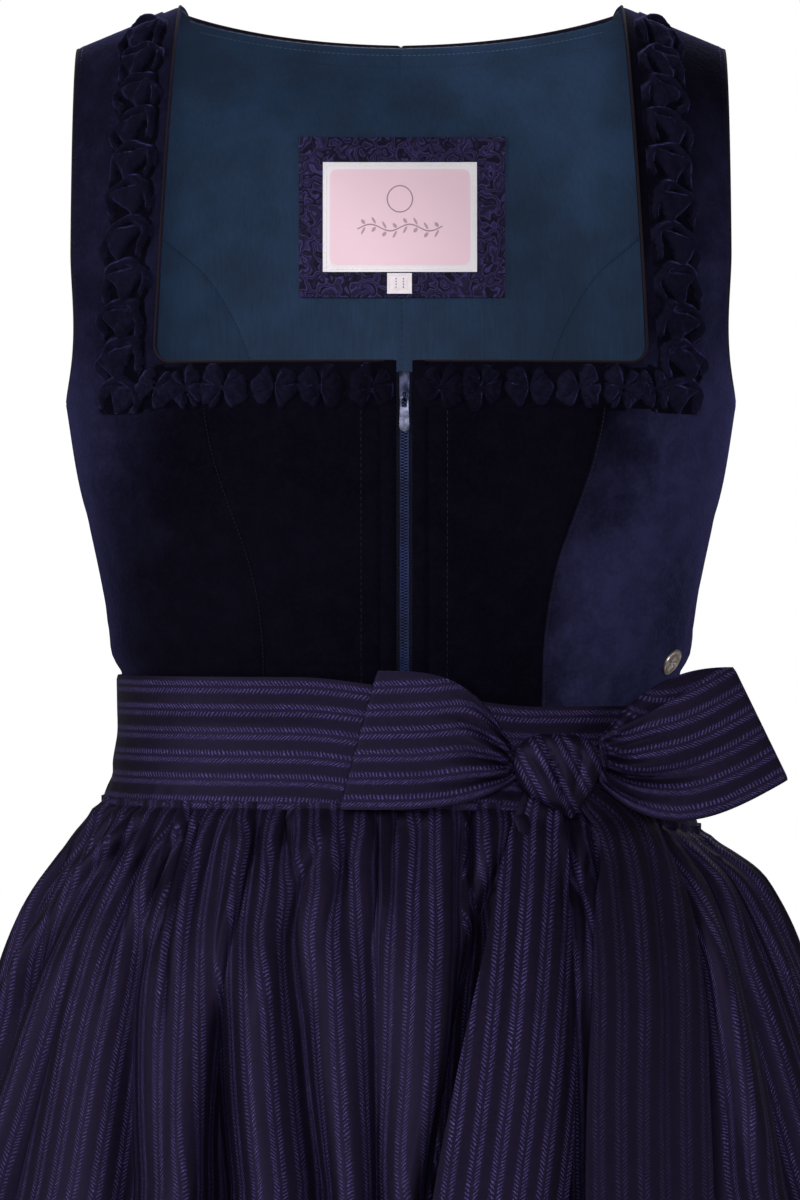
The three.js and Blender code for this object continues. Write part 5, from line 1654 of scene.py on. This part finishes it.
def build_band():
    """The waist band: one ring with puckers along its lower seam."""
    phi = np.linspace(-180, 180, 271)[None, :]
    z = np.linspace(BAND_TOP_Z, BAND_LOW_Z, 30)[:, None]
    base = band_point(phi, z)
    out = normal_of(band_point, phi, z, 0.5, 0.5)
    pucker = 0.35 * np.sin(np.radians(phi * 46) + 1.5 * np.sin(np.radians(7 * phi))) * bump(z - BAND_LOW_Z, 9)
    edge = -0.6 * bump(z - BAND_TOP_Z, 0.9) - 0.5 * bump(z - BAND_LOW_Z, 0.9)
    points = base + out * (creases(BAND_CREASES, phi, z) + pucker + edge)[..., None]
    across = lengths_along(points, 0)
    around = lengths_along(points, 1)
    uv = np.stack([across + 0.6, around], axis=-1)
    part = wall(points, out, SATIN_WALL, uv, ring=True)
    made = add_piece("apron_band_cloth", part, [finish_of("apron_satin")], ["apron_band"])


# Bow

LOOPS = {
    "left": {
        "knot": 52.2, "fold_top": -11, "fold_low": -28, "high": -301, "high_drop": 39, "high_power": 3.5,
        "low": -363.4, "low_rise": 13, "low_power": 4, "dip": 0, "sag": 0, "knot_depth": 5, "end_depth": 11,
    },
    "right": {
        "knot": 89.6, "fold_top": 152, "fold_low": 177, "high": -299.6, "high_drop": 32, "high_power": 2.5,
        "low": -351, "low_rise": 0, "low_power": 1, "dip": 13, "sag": 18, "knot_depth": 6, "end_depth": 17,
    },
}
# Creases that run out from the knot: height on the loop, half width there, depth, reach along it
LOOP_CREASES = {
    "left": ((0.9, 0.03, -2.2, 0.5), (0.79, 0.04, 1.8, 0.42), (0.67, 0.032, -3.0, 0.6),
             (0.55, 0.05, 2.0, 0.5), (0.43, 0.032, -2.8, 0.46), (0.3, 0.06, 2.2, 0.66),
             (0.17, 0.032, -2.6, 0.5), (0.07, 0.03, 1.2, 0.4)),
    "right": ((0.88, 0.035, -2.0, 0.5), (0.74, 0.05, 2.2, 0.66), (0.6, 0.035, -2.4, 0.5),
              (0.5, 0.04, 1.8, 0.5), (0.37, 0.05, -4.6, 0.86), (0.24, 0.05, 2.0, 0.6),
              (0.12, 0.035, -2.4, 0.5)),
}
KNOT = {"x": 71, "z": -347.5, "depth": 12.5, "back": 5}
# The knot's outline: height, left and right edge
KNOT_EDGES = (
    (-329.4, 57, 82), (-332, 53, 87), (-337, 50.8, 90.4), (-345, 51, 90.4), (-353, 54, 87),
    (-358.5, 60, 83.8), (-363, 68.5, 81.5), (-367.5, 75.5, 78),
)
# Its creases: across, height, direction, half length, half width, depth
KNOT_CREASES = (
    (69.5, -347, -72, 18, 1.5, -3.6), (66.2, -344, -68, 12, 2.6, 1.6), (74.5, -350, -82, 13, 2.4, 2.2),
    (60, -344, -60, 11, 1.4, -1.8), (56, -338, -66, 9, 2.2, 0.9), (80, -344, -100, 12, 1.5, -2.2),
    (86, -341, -104, 9, 2, 1.2), (76, -335, -40, 7, 1.3, -1.2), (63, -333, -84, 6, 1.3, -1.2),
)
KNOT_STRIPES = 28
TAILS = {
    "left": (0.7, ((-350, 58, 74), (-366, 51.5, 73), (-384, 46, 76), (-424, 37, 78), (-473, 25.4, 79),
                   (-529, 13.9, 75), (-620, 1, 62), (-720, -10, 50))),
    "right": (2.7, ((-350, 70, 84), (-366, 82, 111), (-378, 89.5, 118), (-405, 86.5, 129),
                    (-445, 84, 135), (-489, 81.3, 136), (-529, 80, 137), (-620, 79, 138),
                    (-720, 78, 137))),
}


def band_face_y(x, z):
    """Depth of the band's face at a place seen from the front."""
    drop = band_drop(phi_on_table(BAND, x, BAND_MIDDLE_Z), z)
    return front_of(band_point, BAND, x, z + drop, np.zeros(np.shape(x)))[..., 1]


def loop_share(turn):
    """Share of the way out from the knot: one less the 2.6 power of the half turn's cosine."""
    return 1 - np.abs(np.cos(turn / 2)) ** 2.6


def loop_point(name, turn, height):
    """A loop of the bow: a wall carried round a flattened oval that is closed at the knot. The ply
    goes from behind to in front with the sign of the half turn's cosine."""
    loop = LOOPS[name]
    share = loop_share(turn)
    ply = -signed_power(np.cos(turn / 2), 0.8)
    x = mix(loop["knot"], mix(loop["fold_low"], loop["fold_top"], height), share)
    high = (loop["high"] - loop["high_drop"] * (1 - share) ** loop["high_power"]
            - loop["dip"] * np.sin(np.pi * share) * np.maximum(0, ply))
    low = (loop["low"] + loop["low_rise"] * (1 - share) ** loop["low_power"]
           - loop["sag"] * np.sin(np.pi * share**0.8))
    z = mix(low, high, height)
    behind = (band_face_y(x, z) - 0.3 - 0.6 * (1 - share)) if name == "left" else -86 + 26 * share
    depth = mix(loop["knot_depth"], loop["end_depth"], np.sin(np.pi * share / 2))
    return grid_of(x, behind - depth * (1 + ply) / 2, z)


def build_bow():
    """Two loops, the knot and two tails."""
    for name, _ in SIDES:
        build_loop(name)
        build_tail(name)
    build_knot()


def build_loop(name):
    """A loop with creases that fan out from the knot on its front ply and softer ones behind."""
    turn = np.linspace(0, 2 * np.pi, 130)[None, :]
    height = np.linspace(0, 1, 48)[:, None]
    points = loop_point(name, turn, height)
    inside = np.clip(turn, 0.02, 2 * np.pi - 0.02)
    out = normal_of(lambda a, b: loop_point(name, a, b), inside, height, 0.01, 0.01)
    out[..., 2] = 0
    out = unit(out) * (1 if name == "left" else -1)
    share = loop_share(turn)
    front = smooth(-0.2, 0.4, -np.cos(turn / 2))
    relief = np.zeros(points.shape[:2])
    for middle, width, depth, reach in LOOP_CREASES[name]:
        fan = bump(height - middle - 0.03 * np.sin(5 * share), width * (0.7 + share))
        relief += depth * fan * (1 - smooth(0.1, reach, share)) * smooth(0, 0.06, share)
    edge = -0.5 * (bump((height - 1) * 55, 1.2) + bump(height * 55, 1.2))
    wave = 1.2 * np.sin(3.2 * height * np.pi + 1) * np.sin(np.pi * share) ** 2 * (0.4 + 0.6 * front)
    moved = np.where(front > 0.5, relief, relief * 0.3) * (0.3 + 0.7 * front) + edge + wave * 0.6
    points = points + out * moved[..., None]
    width = lengths_along(points, 0)
    around = lengths_along(points, 1)
    uv = np.stack([width + 1.2, around], axis=-1)
    part = wall(points, out, SATIN_WALL * 0.9, uv)
    node = f"bow_loop_{name}"
    made = add_piece(f"{node}_cloth", part, [finish_of("apron_satin")], [node])


def build_knot():
    """The knot: a lump whose outline is read from a table of its left and right edge at each height,
    narrowing to a tip below, wrapped by folds that run down to the tip."""
    lat = np.linspace(-0.4995, 0.4995, 56)[:, None] * np.pi
    lon = np.linspace(-np.pi, np.pi, 97)[None, :]
    z = mix(KNOT_EDGES[-1][0], KNOT_EDGES[0][0], 0.5 + 0.5 * signed_power(np.sin(lat), 0.85))
    edges = read_table(KNOT_EDGES, z)
    left, right = edges[..., 0], edges[..., 1]
    full = np.cos(lat) ** 0.3
    x = mix(left, right, 0.5 + 0.5 * full * signed_power(np.sin(lon), 0.9))
    behind = front_of(band_point, BAND, np.array([float(KNOT["x"])]), np.array([KNOT["z"] + BAND_DROP]),
                      np.array([float(KNOT["back"])]))[0, 1]
    bulge = -signed_power(np.cos(lon), 0.8) * np.cos(lat) ** 0.5 * smooth(-4, 22, right - left)
    z = z + 0 * lon
    front = smooth(0.1, 0.7, -bulge)
    relief = front * creases(KNOT_CREASES, x, z)
    points = grid_of(x, behind - KNOT["depth"] * (1 - bulge) - relief, z)
    heart = grid_of(KNOT["x"], behind - KNOT["depth"], z * 0.6 + KNOT["z"] * 0.4)
    out = unit(points - heart)
    turned = math.radians(KNOT_STRIPES)
    c, s = math.cos(turned), math.sin(turned)
    uv = grid_of((x - 70) * c + z * s, z * c - x * s)
    part = wall(points, out, 0.8, uv, ring=True)
    add_piece("bow_knot_cloth", part, [finish_of("apron_satin")], ["bow_knot"])


def tail_point(name, across, z):
    """A tail lies on the band above and on the crests of the apron's folds below, and bends from one
    to the other over the band's lower edge."""
    moved, edges = TAILS[name]
    both = read_table(edges, z)
    x = mix(both[..., 0], both[..., 1], across)
    out = np.full(x.shape, float(moved))
    drop = band_drop(phi_on_table(BAND, x, z), z)
    upper = front_of(band_point, BAND, x, np.maximum(z, BAND_LOW_Z) + drop, out)
    upper[..., 2] = z
    lower = front_of(lambda a, b: table_point(APRON, a, b), APRON, x, z, out)
    lower[..., 2] = z
    lower[..., :2] = np.where((z > BAND_LOW_Z)[..., None], upper[..., :2], lower[..., :2])
    return mix(upper, lower, smooth(-363, -377, z)[..., None])


# Lengthwise folds of the tails: share of the width, half width, depth, height where they fade
TAIL_FOLDS = {
    "left": ((0.16, 0.07, 1.6, -470), (0.34, 0.06, -1.8, -520), (0.55, 0.09, 1.8, -620),
             (0.78, 0.07, -1.6, -500)),
    "right": ((0.12, 0.06, 2.0, -430), (0.3, 0.06, -2.2, -470), (0.5, 0.08, 2.2, -560),
              (0.68, 0.06, -2.4, -640), (0.86, 0.07, 1.8, -480)),
}


# Where the middle of a tail lies on the satin, in mm across its stripes
TAIL_CLOTH_MIDDLE = 200


def build_tail(name):
    """A tail with soft lengthwise folds that fade downwards, a stitched hem line down each edge and a
    wave across near its end."""
    z, across = np.meshgrid(np.linspace(TAIL_TOP_Z, TAIL_END_Z, 150), np.linspace(0, 1, 40), indexing="ij")
    points = tail_point(name, across, z)
    out = normal_of(lambda a, b: tail_point(name, a, b), across, z, 0.02, 0.5)
    width = lengths_along(points, 1)
    relief = np.zeros(z.shape)
    for middle, half, depth, end in TAIL_FOLDS[name]:
        shape = bump(across - middle, half * (0.8 + 0.6 * smooth(-370, end, z)))
        fade = (1 - smooth(-380, end, z)) * smooth(BAND_LOW_Z, -400, z)
        relief += 0.75 * depth * shape * fade
    from_edge = np.minimum(width, width[:, -1:] - width)
    relief += 1.0 + 0.9 * np.sin((z + 400) / 46 + 2 * across) * smooth(-420, -600, z)
    relief -= 0.55 * bump(from_edge - 4, 0.7) + 0.3 * bump(from_edge, 0.6)
    if name == "left":
        relief -= 6.5 * smooth(0.7, 1, across) ** 1.5 * smooth(-376, -400, z) * (1 - smooth(-520, -700, z))
    points = points + out * relief[..., None]
    uv = np.stack([width - width[:, -1:] / 2 + TAIL_CLOTH_MIDDLE, TAIL_TOP_Z - z], axis=-1)
    part = wall(points, -out, -1.4, uv)
    # The right tail takes the satin with darker painted shade
    finish = finish_of("apron_satin" if name == "left" else "apron_satin_reverse")
    made = add_piece(f"tail_{name}_cloth", part, [finish], [f"tail_{name}"])


# Stage

# The camera in metres and its lens in mm, the floor in metres, and how much the surroundings light
CAMERA_PLACE = (-0.00045, -2.3, -0.269)
LENS = 146.67
SENSOR = 36
FLOOR_Z = -1.4
FILL_LIGHT = 0.13
# Lights: place and target in metres, size in metres, power in watts
LIGHTS = {
    "key_left": ((-2.3, -1.6, 0.45), (0, 0, -0.35), 0.7, 54),
    "front": ((0.1, -2.8, 0.1), (0, 0, -0.2), 0.7, 45),
    "right": ((2.2, -1.2, 0.2), (0, 0, -0.35), 1.0, 10),
    "behind": ((0.3, 1.9, 2.3), (0, 0, -0.35), 1.4, 60),
}


def soft_light(name, place, target, size, power):
    """A white square area light aimed at a target."""
    light = bpy.data.lights.new(name, "AREA")
    light.shape = "SQUARE"
    light.size = size
    light.energy = power
    made = bpy.data.objects.new(name, light)
    made.location = place
    made.rotation_euler = (Vector(target) - Vector(place)).to_track_quat("-Z", "Y").to_euler()
    bpy.context.scene.collection.objects.link(made)


def build_stage():
    """Pale floor and surroundings; lights from the left, the front, weakly from the right and from
    above behind; and the camera."""
    scene = bpy.context.scene
    scene.view_settings.view_transform = "Standard"
    world = bpy.data.worlds.new("studio")
    scene.world = world
    world.use_nodes = True
    tree = world.node_tree
    fill, seen = tree.nodes["Background"], tree.nodes.new("ShaderNodeBackground")
    fill.inputs["Color"].default_value = (1, 1, 1, 1)
    fill.inputs["Strength"].default_value = FILL_LIGHT
    seen.inputs["Color"].default_value = (1, 1, 1, 1)
    rays, either = tree.nodes.new("ShaderNodeLightPath"), tree.nodes.new("ShaderNodeMixShader")
    tree.links.new(rays.outputs["Is Camera Ray"], either.inputs[0])
    tree.links.new(fill.outputs[0], either.inputs[1])
    tree.links.new(seen.outputs[0], either.inputs[2])
    tree.links.new(either.outputs[0], tree.nodes["World Output"].inputs["Surface"])
    finish = Finish("studio_floor")
    speck = finish.noise(3, 2)
    floor_colour = finish.colour(speck, (0.8, 0.8, 0.81), (0.84, 0.84, 0.85))
    turn = np.linspace(0, 2 * np.pi, 65)[None, :]
    radius = np.linspace(0.01, 2600, 20)[:, None]
    points = grid_of(radius * np.sin(turn), radius * np.cos(turn), FLOOR_Z / MM)
    upward = np.broadcast_to((0.0, 0.0, 1.0), points.shape)
    part = wall(points, upward, 10, points[..., :2], ring=True)
    floor = add_piece("floor", part, [finish.finished(floor_colour, Roughness=0.7)])
    for name, settings in LIGHTS.items():
        soft_light(name, *settings)
    camera = bpy.data.cameras.new("camera")
    camera.lens = LENS
    camera.sensor_width = SENSOR
    camera.clip_end = 100
    made = bpy.data.objects.new("camera", camera)
    made.location = CAMERA_PLACE
    made.rotation_euler = (math.radians(90), 0, 0)
    scene.collection.objects.link(made)
    scene.camera = made


# What a user can change

def colour_property(name, description, eight_bit):
    """A colour with its name, description and default."""
    return bpy.props.FloatVectorProperty(name=name, description=description, default=linear(*eight_bit),
                                         subtype="COLOR", size=3, min=0, max=1)


class DirndlColours(bpy.types.PropertyGroup):
    """Colours of the dirndl's cloths, threads and metal."""

    velvet: colour_property("Velvet", "Pile seen straight on", (2, 1, 6))
    velvet_light: colour_property("Crushed velvet", "Pile that is pressed over", (8, 6, 16))
    # Painted sheen: the paler colour painted on the sides and straps where light grazes the pile
    velvet_side: colour_property("Combed velvet", "Pile of the sides and straps", (36, 36, 66))
    velvet_sheen: colour_property("Velvet sheen", "Light caught at a slant", (110, 110, 190))
    lining: colour_property("Lining", "Ground of the lining", (21, 38, 60))
    lining_light: colour_property("Lining light", "Paler threads of the lining", (32, 56, 86))
    lining_thread: colour_property("Lining thread", "Seams of the lining", (18, 24, 40))
    facing_thread: colour_property("Facing thread", "Stitches under the rim of the back", (58, 74, 98))
    satin: colour_property("Satin", "Ground of the apron", (12, 8, 17))
    satin_light: colour_property("Satin light", "Paler threads of the apron", (17, 12, 25))
    satin_sheen: colour_property("Satin gloss", "Light caught by the satin", (190, 166, 255))
    stripe_ground: colour_property("Stripe ground", "Soft stripe under the feathers", (24, 18, 40))
    stripe: colour_property("Stripe", "Feather stripes of the apron", (64, 58, 102))
    satin_thread: colour_property("Apron thread", "Hems of the apron", (26, 20, 38))
    skirt: colour_property("Skirt", "Ground of the skirt", (14, 12, 26))
    skirt_light: colour_property("Skirt light", "Paler threads of the skirt", (22, 20, 38))
    patch: colour_property("Patch", "Ground of the brocade", (20, 17, 34))
    patch_light: colour_property("Patch scrolls", "Scrolls of the brocade", (46, 39, 76))
    patch_edge: colour_property("Patch outlines", "Outlines of the scrolls", (68, 59, 112))
    label_pink: colour_property("Label field", "Middle of the label", (246, 212, 225))
    label_white: colour_property("Label edge", "Edge of the label", (242, 236, 241))
    label_grey: colour_property("Label ornament", "Ring and stem on the label", (132, 106, 124))
    tape: colour_property("Zip tape", "Ground of the tape", (7, 10, 24))
    tape_light: colour_property("Zip tape ribs", "Ribs of the tape", (13, 18, 38))
    coil: colour_property("Zip coil", "Teeth of the zip", (36, 44, 84))
    nickel: colour_property("Zip metal", "Slider and pull tab", (72, 74, 90))
    nickel_dark: colour_property("Worn zip metal", "Worn places of the slider", (36, 38, 52))
    badge: colour_property("Badge", "Raised places of the badge", (196, 184, 176))
    badge_dark: colour_property("Badge hollows", "Dull places of the badge", (112, 100, 94))
    thread: colour_property("Velvet thread", "Topstitching on the bodice", (6, 5, 12))
    binding: colour_property("Edge binding", "Neck and armhole edges", (12, 8, 12))
    binding_light: colour_property("Edge binding light", "Rubbed places of the edges", (27, 17, 24))


class DirndlSizes(bpy.types.PropertyGroup):
    """Sizes of the apron cloth's pattern, in millimetres."""

    stripe_pitch: bpy.props.FloatProperty(
        name="Stripe pitch", description="Distance from stripe to stripe, in mm", default=10.6, min=4, max=30)
    stripe_width: bpy.props.FloatProperty(
        name="Stripe width", description="Width of a feather stripe, in mm", default=6.2, min=2, max=20)
    dash_pitch: bpy.props.FloatProperty(
        name="Dash pitch", description="Distance from dash to dash along a stripe, in mm",
        default=1.75, min=0.6, max=6)


class DIRNDL_OT_stage(bpy.types.Operator):
    """Add the floor, the lights and the camera"""

    bl_idname = "dirndl.stage"
    bl_label = "Stage"

    def execute(self, context):
        build_stage()
        return {"FINISHED"}


class DIRNDL_OT_bodice(bpy.types.Operator):
    """Add the velvet panels and their sewing"""

    bl_idname = "dirndl.bodice"
    bl_label = "Bodice"

    def execute(self, context):
        build_bodice()
        return {"FINISHED"}


class DIRNDL_OT_lining(bpy.types.Operator):
    """Add the lining of the back"""

    bl_idname = "dirndl.lining"
    bl_label = "Lining"

    def execute(self, context):
        build_lining()
        return {"FINISHED"}


class DIRNDL_OT_labels(bpy.types.Operator):
    """Add the brocade patch, the bare label and the tab"""

    bl_idname = "dirndl.labels"
    bl_label = "Labels"

    def execute(self, context):
        build_labels()
        return {"FINISHED"}


class DIRNDL_OT_ruche(bpy.types.Operator):
    """Add the pleated ruche round the neckline"""

    bl_idname = "dirndl.ruche"
    bl_label = "Ruche"

    def execute(self, context):
        build_ruche()
        return {"FINISHED"}


class DIRNDL_OT_zip(bpy.types.Operator):
    """Add the tape, coil, slider and pull tab"""

    bl_idname = "dirndl.zip"
    bl_label = "Zip"

    def execute(self, context):
        build_zip()
        return {"FINISHED"}


class DIRNDL_OT_badge(bpy.types.Operator):
    """Add the round badge"""

    bl_idname = "dirndl.badge"
    bl_label = "Badge"

    def execute(self, context):
        build_badge()
        return {"FINISHED"}


class DIRNDL_OT_skirt(bpy.types.Operator):
    """Add the four skirt panels"""

    bl_idname = "dirndl.skirt"
    bl_label = "Skirt"

    def execute(self, context):
        build_skirt()
        return {"FINISHED"}


class DIRNDL_OT_apron(bpy.types.Operator):
    """Add the gathered apron"""

    bl_idname = "dirndl.apron"
    bl_label = "Apron"

    def execute(self, context):
        build_apron()
        return {"FINISHED"}


class DIRNDL_OT_band(bpy.types.Operator):
    """Add the waist band"""

    bl_idname = "dirndl.band"
    bl_label = "Band"

    def execute(self, context):
        build_band()
        return {"FINISHED"}


class DIRNDL_OT_bow(bpy.types.Operator):
    """Add the loops, the knot and the tails"""

    bl_idname = "dirndl.bow"
    bl_label = "Bow"

    def execute(self, context):
        build_bow()
        return {"FINISHED"}


OPERATORS = (
    DIRNDL_OT_stage, DIRNDL_OT_bodice, DIRNDL_OT_lining, DIRNDL_OT_labels,
    DIRNDL_OT_ruche, DIRNDL_OT_zip, DIRNDL_OT_badge, DIRNDL_OT_skirt,
    DIRNDL_OT_apron, DIRNDL_OT_band, DIRNDL_OT_bow,
)


class DIRNDL_PT_main(bpy.types.Panel):
    """Lists the dirndl's steps, colours and sizes in the sidebar."""

    bl_label = "Dirndl"
    bl_space_type = "VIEW_3D"
    bl_region_type = "UI"
    bl_category = "Dirndl"

    def draw(self, context):
        for made in OPERATORS:
            self.layout.operator(made.bl_idname)
        for group in (context.scene.dirndl_colours, context.scene.dirndl_sizes):
            for name in group.bl_rna.properties.keys():
                if name not in ("rna_type", "name"):
                    self.layout.prop(group, name)


CLASSES = (DirndlColours, DirndlSizes, *OPERATORS, DIRNDL_PT_main)


def register():
    for made in CLASSES:
        bpy.utils.register_class(made)
    bpy.types.Scene.dirndl_colours = bpy.props.PointerProperty(type=DirndlColours)
    bpy.types.Scene.dirndl_sizes = bpy.props.PointerProperty(type=DirndlSizes)


def unregister():
    del bpy.types.Scene.dirndl_colours
    del bpy.types.Scene.dirndl_sizes
    for made in reversed(CLASSES):
        bpy.utils.unregister_class(made)


def main():
    """Registers the add-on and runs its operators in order."""
    register()
    for made in OPERATORS:
        getattr(bpy.ops.dirndl, made.bl_idname.split(".")[1])()


if __name__ == "__main__":
    main()
